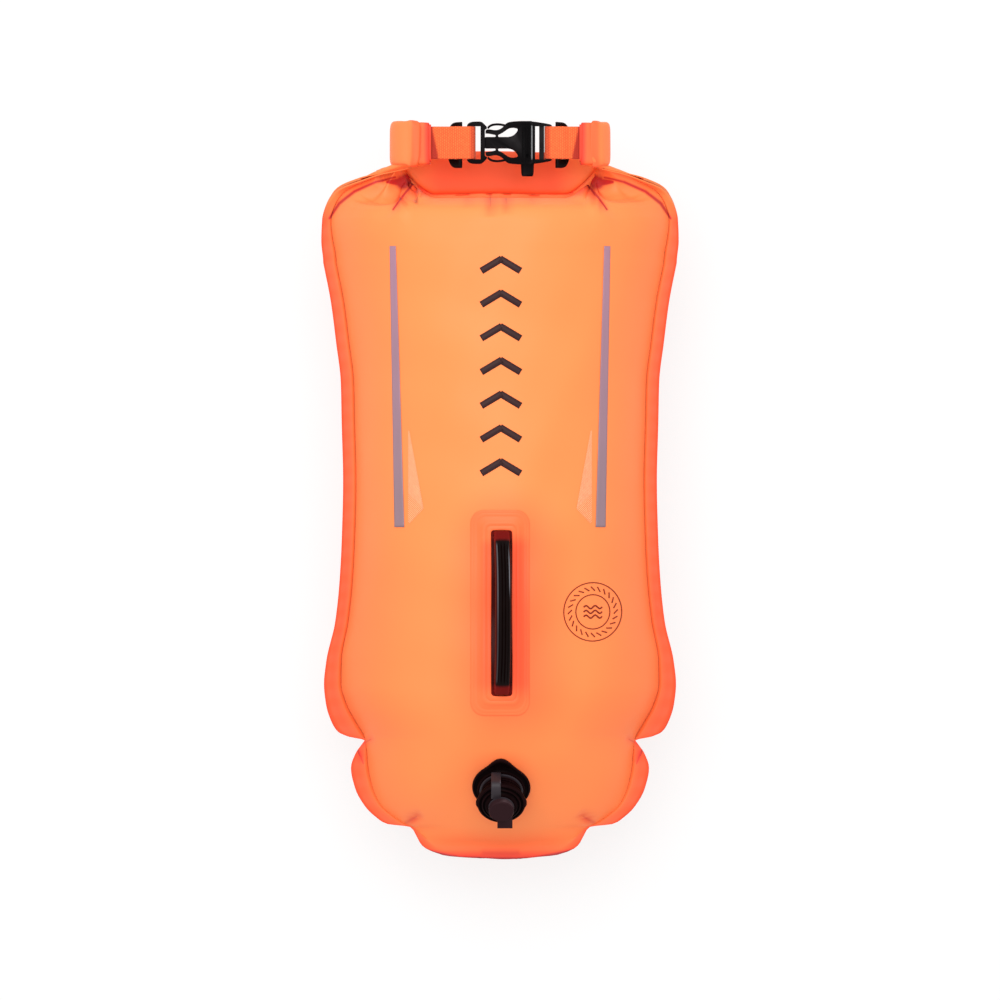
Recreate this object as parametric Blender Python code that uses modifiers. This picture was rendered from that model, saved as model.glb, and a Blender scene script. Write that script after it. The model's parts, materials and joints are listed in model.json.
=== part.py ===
"""Open water swim buoy: an inflatable dry bag with a roll-top mouth, lying on its back.

The bag is three coated sheets welded round the edge. Air blown through the valve fills the space
between the front sheet and the inner sheet, and dry kit goes between the inner sheet and the rear
sheet. The mouth is rolled down over a stiff strip, its two ends are brought forward, and a strap
with a side-release buckle holds them together.

Metres. +X is the bag's right side as it is looked at, +Y runs towards the mouth, +Z comes out of
the front face. The origin is on the ground, under the middle of the bag.
"""

import math

import bmesh
import bpy
from mathutils import Matrix, Vector
from mathutils.bvhtree import BVHTree

# Driving sizes of the bag
HALF_WIDTH = 0.1373  # at the shoulders, to the outer edge of the welded seam
BODY_LENGTH = 0.533  # from the bottom edge to the end of the seam at the rolled mouth
BOTTOM_Y = -0.2819
SEAM_HEIGHT = 0.078  # of the welded edge above the ground
FRONT_CROWN = 0.078  # how far the front sheet stands out from the seam
GROUND_SINK = 0.003  # how much of the round back the ground presses flat
SEAM_BAND = 0.0105  # width of the welded edge
SHEET = 0.0009  # coated polyester
GAP = 0.0003  # between pieces that lie on each other
END_ROUNDING = 0.118  # length over which the bag thins out to its bottom seam
SHOULDER_DROP = 0.0022  # between the roll and the upper edges of the sheets
SWELL_LEAN = 0.6  # how far the shoulders swell towards the mouth rather than level with it
SHOULDER_ROWS_OF_LINER = 5  # rows of the shoulders that the inner sheet reaches
SHOULDER_ROWS_LINED = 3  # rows of the shoulders where the inner sheet still lies on the rear
LINER_INSET = 0.0015  # of the inner sheet's corner from the seam's inner edge
LINER_GAP = 0.0008  # between the inner sheet and the rear one it lies on
SEAM_ANGLE = math.radians(69)  # how steeply the sheets leave the seam

# The rolled mouth
MOUTH_HALF_LENGTH = 0.0775  # to the middle of the roll, where it turns forward
MOUTH_DEPTH = 0.046  # how far the two ends are brought forward
MOUTH_CORNER = 0.012
MOUTH_RISE_FROM = 0.75  # share of the way from the middle to its corner where the roll starts to rise
LEFT_END_X = 0.0525  # where each rolled end stops, measured from the middle
RIGHT_END_X = 0.0605
MOUTH_SETBACK = 0.0084  # of the roll's middle, behind the buckle, from the end of the side seams
MOUTH_END_RISE = 0.0213  # of the two ends' middle, in line with the strap, over the roll's back
ROLL_TURNS = 2.5
ROLL_PITCH = 0.0013
ROLL_SHEET = 0.0008
CORE_HALF_HEIGHT = 0.0135
CORE_HALF_THICKNESS = 0.0031

# The strap and its D-rings
STRAP_WIDTH = 0.0246
STRAP_THICKNESS = 0.0014
STRAP_IN_ROLL = 0.0050
STIFFENER_THICKNESS = 0.0012
STIFFENER_DEPTH = 0.0027  # of its back face behind the middle of the roll
STIFFENER_HEIGHT = 0.0230
RING_WIRE = 0.0032
RING_INSIDE_LENGTH = 0.029
RING_REACH = 0.0125
RING_DROP = 0.0017
RING_TILT = math.radians(42)
LEFT_RING_X = -0.0305
RIGHT_RING_X = 0.0440

MOUTH_BACK_Y = BOTTOM_Y + BODY_LENGTH - MOUTH_SETBACK
MOUTH_FRONT_Y = MOUTH_BACK_Y + MOUTH_END_RISE
STRAP_Z = SEAM_HEIGHT + MOUTH_DEPTH + GAP / 2
STRAP_FALL = 0.0055  # over which the strap's two layers come together behind the ring
STRAP_STEPS = 5
WRAP_STEPS = 8
RING_STEPS = 10
RING_SIDES = 12
RING_SQUARENESS = 0.5

# The buckle
BUCKLE_LEFT_X = -0.0252
BUCKLE_LENGTH = 0.0647
BUCKLE_HALF_WIDTH = 0.0161
BUCKLE_THICKNESS = 0.0082
PLATE = 0.0017  # front and rear walls of the socket
BAR = 0.0034  # the round bars that the strap goes round
CORNER_CUT = 0.0012  # the most that a moulded corner loses of its two sides
FRAME_HALF_THICKNESS = 0.0029
PRONG_HALF_THICKNESS = 0.0021
PRONG_WIDTH = 0.0016
WHISTLE_RADIUS = 0.0046
WHISTLE_CHAMBER_RADIUS = 0.0030
WHISTLE_DUCT_HALF = 0.0010
WHISTLE_HOLE_RADIUS = 0.0016
# Places on the buckle: share of its length from its left end, share of its half width
PLUG_SHARES = (
    (0.000, 0.830), (0.020, 0.930), (0.055, 0.985), (0.100, 1.000), (0.165, 1.000),
    (0.190, 0.935), (0.236, 0.745), (0.236, 0.665), (0.2115, 0.635),
)
PLUG_WINDOW_SHARES = ((-0.020, -0.785), (0.160, 0.785))
PLUG_BAR_SHARE = 0.0490
BAR_END_SHARES = (-0.830, 0.830)
PLUG_GUIDE_SHARES = ((0.190, -0.255), (0.630, 0.255))
PRONG_ROOT_SHARES = (0.236, 0.705)
PRONG_SHARES = (
    (0.2425, 0.705), (0.250, 0.712), (0.264, 0.775), (0.290, 0.835), (0.332, 0.870), (0.380, 0.872),
    (0.420, 0.845), (0.455, 0.815), (0.490, 0.797), (0.521, 0.785), (0.600, 0.720),
)
HOOK_SHARES = ((0.5430, 0.730), (0.5430, 0.915), (0.560, 0.915), (0.606, 0.770), (0.606, 0.670))
SOCKET_SHARES = (
    (0.2190, 0.445), (0.2190, 0.600), (0.250, 0.632), (0.292, 0.610), (0.332, 0.580),
    (0.373, 0.605), (0.407, 0.675), (0.430, 0.760), (0.450, 0.860), (0.482, 0.960),
    (0.536, 0.998), (0.628, 1.020), (0.780, 1.020),
)
SOCKET_CHANNEL_SHARES = (
    ((0.200, -1.200), (0.520, 1.200)),
    ((0.500, -0.865), (0.540, 0.865)),
    ((0.538, -0.940), (0.640, 0.940)),
)
SOCKET_WINDOW_SHARES = (
    ((0.200, 0.265), (0.339, 0.265), (0.339, 0.375), (0.300, 0.405), (0.250, 0.445), (0.200, 0.445)),
    (
        (0.366, 0.265), (0.500, 0.265), (0.550, 0.340), (0.583, 0.475), (0.600, 0.600),
        (0.594, 0.690), (0.570, 0.710), (0.529, 0.720), (0.488, 0.680), (0.448, 0.557),
        (0.407, 0.447), (0.366, 0.380),
    ),
)
LADDER_SHARES = (
    (0.740, 1.012), (0.800, 0.992), (0.860, 0.955), (0.930, 0.910), (0.985, 0.865),
    (1.005, 0.800),
)
LADDER_OPENING_SHARES = ((0.804, -0.785), (1.020, 0.785))
LADDER_BAR_SHARE = 0.9665
CROSSBAR_SHARES = ((0.851, -0.830), (0.9095, 0.830))  # in front of the strap's loop
WHISTLE_SHARE = 0.713
WHISTLE_BARREL_SHARES = (-0.990, 0.990)
WHISTLE_CHAMBER_SHARES = (-0.700, 0.450)
WHISTLE_DUCT_SHARES = ((0.693, -1.700), (0.733, -0.600))
WHISTLE_HOLE_SHARES = (0.713, -0.620)
# The whistle's mouthpiece: place across the buckle, and half sizes, as shares of its half width
MOUTHPIECE_SHARES = (
    (-0.900, 0.310, 0.240), (-1.080, 0.310, 0.235), (-1.420, 0.295, 0.190), (-1.550, 0.270, 0.165),
    (-1.590, 0.225, 0.130),
)
PLUG_BAR_X = BUCKLE_LEFT_X + PLUG_BAR_SHARE * BUCKLE_LENGTH
LADDER_BAR_X = BUCKLE_LEFT_X + LADDER_BAR_SHARE * BUCKLE_LENGTH

# The handle
HANDLE_X = 0.0012
HANDLE_Y = -0.0940
PATCH_X = 0.0000
HANDLE_WIDTH = 0.0140
HANDLE_RISE = 0.0145
HANDLE_THICKNESS = 0.0048
HANDLE_PLATE = 0.0012
HANDLE_RIBS = 4
HANDLE_RIB_SHARE = 6  # how many times thicker than its ribs the arch is
HANDLE_TOP_SHARE = 0.70  # how wide the arch's flat top and bottom are next to its middle
HANDLE_STATIONS = 20
HANDLE_ARCH_POWER = 3.0
FLANGE_WIDTH = 0.0250
FLANGE_LENGTH = 0.1370
FLANGE_END = 0.0065  # how far the flange runs on past each end of the arch
PATCH_SIDE = 0.0099  # how far the patch runs on past each side of the flange
PATCH_END = 0.0095  # how far it runs on past each end
HANDLE_LENGTH = FLANGE_LENGTH - 2 * FLANGE_END
PATCH_WIDTH = FLANGE_WIDTH + 2 * PATCH_SIDE
PATCH_LENGTH = FLANGE_LENGTH + 2 * PATCH_END
PATCH_CORNER = 0.0100
PATCH_SHEET = 0.0010
WINDOW_MARGIN = 0.0008

# The valve: radii, and heights over the front sheet along the valve's axis
VALVE_X = 0.0010
VALVE_Y = -0.2275
VALVE_FLANGE_RADIUS = 0.0222
VALVE_FLANGE_THICKNESS = 0.0016
VALVE_HEIGHT = 0.0296
HUB_RADIUS = 0.0182
HUB_HEIGHT = 0.0034
NECK_RADIUS = 0.0125
NECK_HEIGHT = 0.0085
NECK_BORE = 0.0085
SEAT_RADIUS = 0.0050
SEAT_WALL = 0.0010
FLAP_THICKNESS = 0.0008
SEAL_THICKNESS = 0.0011
CAP_BORE = 0.0060
VALVE_BODY_RADIUS = 0.0172
BODY_STEP_RADIUS = 0.0142
BODY_TOP_RADIUS = 0.0112
BODY_CHAMFER = 0.0010
WING_BOTTOM = 0.0140
WING_TOP = 0.0205
WING_REACH = 0.0196
WING_HALF_WIDTH = 0.0032
BODY_TOP = 0.0228
CAP_NECK_RADIUS = 0.0070
CAP_PLUG_LOW = 0.0190
VALVE_CAP_RADIUS = 0.0096
TAB_SIDES = (-0.0030, 0.0085)
TAB_REACH = 0.0085
TETHER_THICKNESS = 0.0014
TETHER_WIDTH = 0.0072
BAND_SHARE = 0.85  # how thick the tether's band is next to its rings
TETHER_X = -0.0040
TETHER_RING_RADIUS = 0.0166
TETHER_SMALL_RADIUS = 0.0098

# The two reflective strips
STRIP_TOP_X = 0.0815
STRIP_BOTTOM_X = 0.0765
STRIP_TOP_DROP = 0.0661  # of the strips' tops, below the end of the side seams
STRIP_LENGTH = 0.2140
STRIP_TOP_Y = BOTTOM_Y + BODY_LENGTH - STRIP_TOP_DROP
STRIP_BOTTOM_Y = STRIP_TOP_Y - STRIP_LENGTH
STRIP_TOP_WIDTH = 0.0046
STRIP_BOTTOM_WIDTH = 0.0074
STRIP_FILM = 0.0004

# Outline from the bottom up to the shoulders, as shares of the bag's length and half width: place
# along the bag, half width to the seam's outer edge, and half width that the air gives the bag.
# Where the two differ the seam is pinched in or stands out, as it does at the lower corners.
OUTLINE_SHARES = (
    (0.000, 0.250, 0.250), (0.015, 0.435, 0.435), (0.029, 0.468, 0.500), (0.042, 0.503, 0.560),
    (0.046, 0.628, 0.600), (0.055, 0.689, 0.655), (0.072, 0.756, 0.735), (0.098, 0.811, 0.785),
    (0.127, 0.834, 0.810), (0.149, 0.806, 0.818), (0.162, 0.770, 0.824), (0.1670, 0.757, 0.828),
    (0.1720, 0.846, 0.832), (0.1790, 0.906, 0.845), (0.1920, 0.940, 0.875), (0.218, 0.973, 0.930),
    (0.248, 0.985, 0.962), (0.281, 0.972, 0.960), (0.338, 0.922, 0.922), (0.396, 0.898, 0.898),
    (0.453, 0.886, 0.886), (0.540, 0.878, 0.878), (0.625, 0.886, 0.886), (0.683, 0.891, 0.891),
    (0.740, 0.917, 0.917), (0.798, 0.946, 0.946), (0.855, 0.989, 0.989),
)
# From the shoulders up to the roll: share of the way up, how far the row is curled forward as the
# mouth is, the front's fullness in the middle, in the crease beside it and at the side, and the
# rear's fullness.
SHOULDER_SHARES = (
    (0.22, 0.00, 1.000, 1.000, 1.000, 0.985), (0.45, 0.01, 0.990, 0.960, 0.970, 0.930),
    (0.60, 0.06, 0.975, 0.890, 0.930, 0.840), (0.70, 0.13, 0.950, 0.790, 0.870, 0.740),
    (0.78, 0.24, 0.920, 0.640, 0.760, 0.620), (0.84, 0.38, 0.870, 0.460, 0.580, 0.460),
    (0.89, 0.54, 0.800, 0.290, 0.380, 0.300), (0.93, 0.70, 0.700, 0.140, 0.190, 0.150),
    (0.965, 0.86, 0.540, 0.050, 0.060, 0.050), (1.00, 1.00, 0.000, 0.000, 0.000, 0.000),
)
CREASE_SHARES = (0.22, 0.55, 0.78)  # where the middle ends, the crease lies and the side begins
# Places of the lengthwise edges across a panel, as shares of the way from the middle to the seam
COLUMN_SHARES = (0.0, 0.20, 0.38, 0.55, 0.70, 0.83, 0.93, 1.0)


def material(name, colour, roughness, metallic=0.0):
    """A plain finish with the piece's colour and gloss."""
    made = bpy.data.materials.new(name)
    made.use_nodes = True
    shader = made.node_tree.nodes["Principled BSDF"]
    shader.inputs["Base Color"].default_value = (*colour, 1.0)
    shader.inputs["Roughness"].default_value = roughness
    shader.inputs["Metallic"].default_value = metallic
    return made


def clear_scene():
    for obj in list(bpy.data.objects):
        bpy.data.objects.remove(obj, do_unlink=True)


clear_scene()
PARTS = bpy.data.collections.new("open_water_swim_buoy")
bpy.context.scene.collection.children.link(PARTS)

ORANGE = material("coated_orange", (1.0, 0.29, 0.08), 0.55)
LINER = material("liner_orange", (0.85, 0.25, 0.09), 0.6)
WEBBING = material("webbing_orange", (0.95, 0.22, 0.05), 0.8)
BLACK = material("black_plastic", (0.015, 0.014, 0.015), 0.35)
GLOSS = material("gloss_black_rubber", (0.012, 0.010, 0.010), 0.2)
STRIP_WHITE = material("stiffener_white", (0.75, 0.75, 0.72), 0.5)
SILVER = material("reflective_grey", (0.45, 0.36, 0.42), 0.4, 0.3)
CLEAR_RUBBER = material("valve_rubber", (0.30, 0.28, 0.26), 0.5)


def link(obj, finish):
    PARTS.objects.link(obj)
    if finish is not None:
        obj.data.materials.append(finish)
    return obj


def object_from_bmesh(name, bm, finish):
    mesh = bpy.data.meshes.new(name)
    bmesh.ops.recalc_face_normals(bm, faces=bm.faces[:])
    bm.to_mesh(mesh)
    bm.free()
    return link(bpy.data.objects.new(name, mesh), finish)


def grid_surface(name, rows, finish):
    """An open sheet through rows of points."""
    bm = bmesh.new()
    made = [[bm.verts.new(point) for point in row] for row in rows]
    for low, high in zip(made[:-1], made[1:]):
        for i in range(len(low) - 1):
            bm.faces.new((low[i], low[i + 1], high[i + 1], high[i]))
    return object_from_bmesh(name, bm, finish)


def loft(name, rings, finish):
    """A closed solid through rings of points, capped at both ends."""
    bm = bmesh.new()
    made = [[bm.verts.new(point) for point in ring] for ring in rings]
    count = len(rings[0])
    for low, high in zip(made[:-1], made[1:]):
        for i in range(count):
            j = (i + 1) % count
            bm.faces.new((low[i], low[j], high[j], high[i]))
    bm.faces.new(made[0][::-1])
    bm.faces.new(made[-1])
    return object_from_bmesh(name, bm, finish)


def solidify(obj, thickness, offset=0.0):
    wall = obj.modifiers.new("wall", "SOLIDIFY")
    wall.thickness = thickness
    wall.offset = offset
    return obj


def baked(obj):
    """The object's evaluated mesh in place of its modifiers, in the part's own frame."""
    bpy.context.view_layer.update()
    graph = bpy.context.evaluated_depsgraph_get()
    mesh = bpy.data.meshes.new_from_object(obj.evaluated_get(graph))
    mesh.transform(obj.matrix_world)
    name, finish = obj.name, obj.data.materials[0] if obj.data.materials else None
    bpy.data.objects.remove(obj, do_unlink=True)
    bm = bmesh.new()
    bm.from_mesh(mesh)
    bmesh.ops.remove_doubles(bm, verts=bm.verts[:], dist=WELD_DISTANCE)
    bmesh.ops.recalc_face_normals(bm, faces=bm.faces[:])
    bm.to_mesh(mesh)
    bm.free()
    mesh.name = name
    mesh.materials.clear()
    return link(bpy.data.objects.new(name, mesh), finish)


WELD_DISTANCE = GAP / 20


def outline_solid(name, loops, half_thickness, finish, frame):
    """A flat outline, with any holes, given a thickness, and placed by frame."""
    curve = bpy.data.curves.new(name, "CURVE")
    curve.dimensions = "2D"
    curve.fill_mode = "BOTH"
    curve.extrude = half_thickness
    for loop in loops:
        spline = curve.splines.new("POLY")
        spline.points.add(len(loop) - 1)
        for point, (x, y) in zip(spline.points, loop):
            point.co = (x, y, 0.0, 1.0)
        spline.use_cyclic_u = True
    obj = link(bpy.data.objects.new(name, curve), finish)
    obj.matrix_world = frame
    return baked(obj)


def turned(name, profile, finish, frame, steps=32):
    """A closed profile of (radius, height) points turned about its own Z axis."""
    bm = bmesh.new()
    verts = [bm.verts.new((radius, 0.0, height)) for radius, height in profile]
    on_axis = profile[0][0] == 0.0 and profile[-1][0] == 0.0
    for a, b in zip(verts, verts[1:] + ([] if on_axis else verts[:1])):
        bm.edges.new((a, b))
    mesh = bpy.data.meshes.new(name)
    bm.to_mesh(mesh)
    bm.free()
    obj = link(bpy.data.objects.new(name, mesh), finish)
    screw = obj.modifiers.new("turned", "SCREW")
    screw.axis = "Z"
    screw.steps = screw.render_steps = steps
    screw.use_merge_vertices = True
    screw.merge_threshold = WELD_DISTANCE
    screw.use_normal_calculate = True
    obj.matrix_world = frame
    return baked(obj)


def boolean(obj, other, operation="DIFFERENCE"):
    """Cuts other from obj, or joins it, and bakes the result."""
    step = obj.modifiers.new(operation.lower(), "BOOLEAN")
    step.operation = operation
    step.object = other
    step.solver = "EXACT"
    made = baked(obj)
    bpy.data.objects.remove(other, do_unlink=True)
    return made


def smooth_shading(obj, angle=math.radians(40)):
    obj.data.shade_smooth()
    obj.data.set_sharp_from_angle(angle=angle)
    return obj


def ease(t):
    """A smooth step from 0 to 1."""
    t = min(1.0, max(0.0, t))
    return t * t * (3 - 2 * t)


def arc(centre, radius, start, end, count):
    """Points on an arc in degrees, both ends included."""
    made = []
    for i in range(count + 1):
        angle = math.radians(start + (end - start) * i / count)
        made.append((centre[0] + radius * math.cos(angle), centre[1] + radius * math.sin(angle)))
    return made


def rounded_rectangle(half_x, half_y, corner, per_corner=4):
    """The outline of a rounded rectangle round the origin, anticlockwise from its right side."""
    points = []
    for sign_x, sign_y, start in ((1, 1, 0), (-1, 1, 90), (-1, -1, 180), (1, -1, 270)):
        centre = (sign_x * (half_x - corner), sign_y * (half_y - corner))
        points += arc(centre, corner, start, start + 90, per_corner)
    return points


# The mouth's path: where the middle of the roll runs, seen from above the mouth


def mouth_lengths(end_x):
    """Lengths of the path's runs from the middle to one end: back, corner, side, corner, front."""
    back = MOUTH_HALF_LENGTH - MOUTH_CORNER
    quarter = math.pi / 2 * MOUTH_CORNER
    return back, quarter, MOUTH_DEPTH - 2 * MOUTH_CORNER, quarter, back - end_x


def mouth_point(share):
    """The path's point at a share from -1, the left end, to 1, the right one, and its tangent."""
    side = -1.0 if share < 0 else 1.0
    end_x = LEFT_END_X if share < 0 else RIGHT_END_X
    runs = mouth_lengths(end_x)
    along = abs(share) * sum(runs)
    back, quarter, depth_run, _, _ = runs
    corner = MOUTH_CORNER
    turn_x = back
    if along <= back:
        x, z, tangent = along, 0.0, (1.0, 0.0)
    elif along <= back + quarter:
        angle = (along - back) / corner
        x, z = turn_x + corner * math.sin(angle), corner * (1 - math.cos(angle))
        tangent = (math.cos(angle), math.sin(angle))
    elif along <= back + quarter + depth_run:
        x, z, tangent = turn_x + corner, corner + along - back - quarter, (0.0, 1.0)
    elif along <= back + 2 * quarter + depth_run:
        angle = (along - back - quarter - depth_run) / corner
        x = turn_x + corner * math.cos(angle)
        z = corner + depth_run + corner * math.sin(angle)
        tangent = (-math.sin(angle), math.cos(angle))
    else:
        rest = along - back - 2 * quarter - depth_run
        x, z, tangent = turn_x - rest, 2 * corner + depth_run, (-1.0, 0.0)
    rise = ease((along - back * MOUTH_RISE_FROM) / (back * (1 - MOUTH_RISE_FROM) + quarter))
    point = Vector((side * x, rise * (MOUTH_FRONT_Y - MOUTH_BACK_Y), z))
    return point, Vector((tangent[0], 0.0, side * tangent[1]))


def mouth_frame(share):
    """The path's point with the way along it, and the way out of the roll's outer face."""
    point, tangent = mouth_point(share)
    outward = Vector((0.0, 1.0, 0.0)).cross(tangent)
    return point + Vector((0.0, MOUTH_BACK_Y, SEAM_HEIGHT)), tangent, outward


ROLL_HALF_HEIGHT = CORE_HALF_HEIGHT + ROLL_TURNS * ROLL_PITCH + ROLL_SHEET / 2


# The bag's sheets


def crown_share(along):
    """How full the bag is at a distance from its bottom edge, from 0 to 1."""
    inside = along - SEAM_BAND
    if inside <= 0:
        return 0.0
    return 1 - max(0.0, 1 - inside / END_ROUNDING) ** 2


def arch_share(share):
    """Height of the sheet's arc across the bag, from 1 in the middle to 0 at the seam."""
    reach = 1 / math.sin(SEAM_ANGLE)
    foot = math.sqrt(reach**2 - 1)
    return (math.sqrt(reach**2 - min(1.0, share) ** 2) - foot) / (reach - foot)


def columns():
    """Signed places across a row: share of the way to the seam, and whether on the outer edge."""
    half = [(share, False) for share in COLUMN_SHARES] + [(1.0, True)]
    return [(-share, edge) for share, edge in half[:0:-1]] + half


def medial_rows():
    """The surface midway between the sheets, row by row from the bottom, with its fullness."""
    rows = []
    for along_share, edge_share, full_share in OUTLINE_SHARES:
        along = along_share * BODY_LENGTH
        inner_half = full_share * HALF_WIDTH - SEAM_BAND
        outer_half = max(edge_share * HALF_WIDTH, inner_half + SHEET)
        row = []
        for share, edge in columns():
            x = share * (outer_half if edge else inner_half)
            full = crown_share(along)
            row.append((Vector((x, BOTTOM_Y + along, SEAM_HEIGHT)), full, full))
        rows.append(row)
    start_y = rows[-1][0][0].y
    middle_end, crease_at, side_start = CREASE_SHARES
    for up, curl, middle, crease, beside, rear in SHOULDER_SHARES:
        row = []
        band_turn = math.pi * ease(curl)
        for share, edge in columns():
            side = math.copysign(1.0, share)
            run = sum(mouth_lengths(LEFT_END_X if share < 0 else RIGHT_END_X))
            point = mouth_frame(share * (1 - SEAM_BAND / run))[0]
            under_roll = point.y - ROLL_HALF_HEIGHT - SHOULDER_DROP
            medial = Vector((
                (1 - curl) * share * (HALF_WIDTH - SEAM_BAND) + curl * point.x,
                start_y + (under_roll - start_y) * up,
                SEAM_HEIGHT + curl * (point.z - SEAM_HEIGHT),
            ))
            if edge:
                medial += SEAM_BAND * Vector((side * math.cos(band_turn), 0, math.sin(band_turn)))
            into = ease((abs(share) - middle_end) / (crease_at - middle_end))
            past = ease((abs(share) - crease_at) / (side_start - crease_at))
            front = middle + (crease - middle) * into + (beside - crease) * past
            row.append((medial, front, rear))
        rows.append(row)
    return rows


def sheet_rows(front):
    """The middle surface of the front or the rear sheet, row by row from the bottom."""
    crown = FRONT_CROWN if front else SEAM_HEIGHT + GROUND_SINK - SHEET / 2
    way = 1.0 if front else -1.0
    medial = medial_rows()
    plane = grid_surface("medial", [[point for point, _, _ in row] for row in medial], None)
    normals = outward_normals(plane, 1.0)
    bpy.data.objects.remove(plane, do_unlink=True)
    rows = []
    for r, row in enumerate(medial):
        made = []
        for c, ((point, front_full, rear_full), (share, _)) in enumerate(zip(row, columns())):
            normal = normals[r * len(row) + c]
            level = Vector((normal.x, normal.y * SWELL_LEAN, normal.z)).normalized()
            full = front_full if front else rear_full
            swell = full * crown * arch_share(abs(share))
            made.append(point + way * (normal * (SHEET + GAP) + level * swell))
        rows.append(made)
    return rows


def press_flat(obj):
    """Presses what would lie below the ground up to it, as the bag's own weight does."""
    for vert in obj.data.vertices:
        vert.co.z = max(vert.co.z, SHEET / 2)


def outward_normals(sheet, way):
    """The vertex normals of a sheet's grid, turned to the bag's outside."""
    normals = [Vector(vert.normal) for vert in sheet.data.vertices]
    middle = len(OUTLINE_SHARES) // 2 * len(columns()) + len(COLUMN_SHARES)
    flip = 1.0 if normals[middle].z * way > 0 else -1.0
    return [normal * flip for normal in normals]


def inner_rows(rear):
    """The inner sheet: it lies against the rear one, and midway between the two in the seam."""
    normals = outward_normals(rear, -1.0)
    points = [vert.co for vert in rear.data.vertices]
    rows = []
    lying_rows = len(OUTLINE_SHARES) + SHOULDER_ROWS_LINED
    for r, row in enumerate(medial_rows()[:len(OUTLINE_SHARES) + SHOULDER_ROWS_OF_LINER]):
        made = []
        for c, ((point, _, _), (share, edge)) in enumerate(zip(row, columns())):
            at = r * len(row) + c
            if edge:
                made.append(point)
            elif abs(share) == 1.0:
                neighbour = row[c - 1 if share > 0 else c + 1][0]
                made.append(point + (neighbour - point).normalized() * LINER_INSET)
            elif r < lying_rows and (point - points[at]).length > 2 * (SHEET + LINER_GAP):
                made.append(points[at] - normals[at] * (SHEET + LINER_GAP))
            else:
                made.append(point)
        rows.append(made)
    return rows


def make_sheets():
    """The front, rear and inner sheets, and the front one's grid of points and normals."""
    front = grid_surface("front_panel", sheet_rows(True), ORANGE)
    rear = grid_surface("rear_panel", sheet_rows(False), ORANGE)
    press_flat(rear)
    inner = grid_surface("inner_panel", inner_rows(rear), LINER)
    grid = [Vector(vert.co) for vert in front.data.vertices]
    normals = outward_normals(front, 1.0)
    for sheet in (front, rear, inner):
        solidify(sheet, SHEET)
    return [smooth_shading(baked(sheet)) for sheet in (front, rear, inner)], grid, normals


# The rolled mouth and its strip


def roll_section():
    """The rolled sheet's cross-section as one closed loop of (height, thickness) points."""
    per_turn, softness = 14, 0.45
    steps = int(per_turn * ROLL_TURNS)

    def at(step, inset):
        angle = 2 * math.pi * step / per_turn
        grow = ROLL_PITCH * step / per_turn
        height = (CORE_HALF_HEIGHT + grow + inset) * signed_power(math.cos(angle), softness)
        depth = (CORE_HALF_THICKNESS + grow + inset) * signed_power(math.sin(angle), softness)
        return height, depth

    outer = [at(step, ROLL_SHEET / 2) for step in range(steps + 1)]
    inner = [at(step, -ROLL_SHEET / 2) for step in range(steps + 1)]
    return outer + inner[::-1]


def signed_power(value, power):
    return math.copysign(abs(value) ** power, value)


def mouth_shares():
    """Stations along the mouth's path, closer round its corners."""
    shares = {0.0}
    for side, end_x in ((-1.0, LEFT_END_X), (1.0, RIGHT_END_X)):
        runs = mouth_lengths(end_x)
        total, start = sum(runs), 0.0
        for run, pieces in zip(runs, (3, 3, 1, 3, 1)):
            for i in range(1, pieces + 1):
                shares.add(side * (start + run * i / pieces) / total)
            start += run
    return sorted(shares)


def swept_along_mouth(name, section, finish):
    rings = []
    for share in mouth_shares():
        centre, _, outward = mouth_frame(share)
        rings.append([
            centre + Vector((0.0, height, 0.0)) + outward * depth for height, depth in section
        ])
    return loft(name, rings, finish)


def make_mouth():
    roll = swept_along_mouth("rolled_mouth", roll_section(), ORANGE)
    half_height, thick = STIFFENER_HEIGHT / 2, STIFFENER_THICKNESS
    # The strip lies on the core's inner side, and the strap's ends on its outer side
    back = -STIFFENER_DEPTH
    section = [
        (-half_height, back), (half_height, back),
        (half_height, back + thick), (-half_height, back + thick),
    ]
    strip = swept_along_mouth("mouth_stiffener", section, STRIP_WHITE)
    return [smooth_shading(roll), strip]


def over_front(name, low, high, box, finish):
    """A slab that follows the front sheet, between two heights over its outer face.

    box is the area it covers, as (least x, greatest x, least y, greatest y).
    """
    count = len(columns())
    rows = len(FRONT_GRID) // count
    inside = [
        divmod(i, count) for i, p in enumerate(FRONT_GRID)
        if box[0] <= p.x <= box[1] and box[2] <= p.y <= box[3]
    ]
    low_r = max(0, min(r for r, _ in inside) - 1)
    high_r = min(rows - 1, max(r for r, _ in inside) + 2)
    low_c = max(0, min(c for _, c in inside) - 1)
    high_c = min(count - 1, max(c for _, c in inside) + 1)
    bm = bmesh.new()
    layers = []
    for height in (low, high):
        layer = {}
        for r in range(low_r, high_r + 1):
            for c in range(low_c, high_c + 1):
                at = r * count + c
                layer[r, c] = bm.verts.new(FRONT_GRID[at] + FRONT_NORMALS[at] * (SHEET / 2 + height))
        layers.append(layer)
    for layer in layers:
        for r in range(low_r, high_r):
            for c in range(low_c, high_c):
                bm.faces.new((layer[r, c], layer[r, c + 1], layer[r + 1, c + 1], layer[r + 1, c]))
    rim = [(low_r, c) for c in range(low_c, high_c)] + [(r, high_c) for r in range(low_r, high_r)]
    rim += [(high_r, c) for c in range(high_c, low_c, -1)]
    rim += [(r, low_c) for r in range(high_r, low_r, -1)]
    for here, there in zip(rim, rim[1:] + rim[:1]):
        bm.faces.new((layers[0][here], layers[0][there], layers[1][there], layers[1][here]))
    return object_from_bmesh(name, bm, finish)


def prism(name, outline):
    """A tall cutter of an outline in the ground plane, from under the bag to over it."""
    half = SEAM_HEIGHT * 2
    return outline_solid(name, [outline], half, None, Matrix.Translation((0, 0, SEAM_HEIGHT)))


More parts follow.
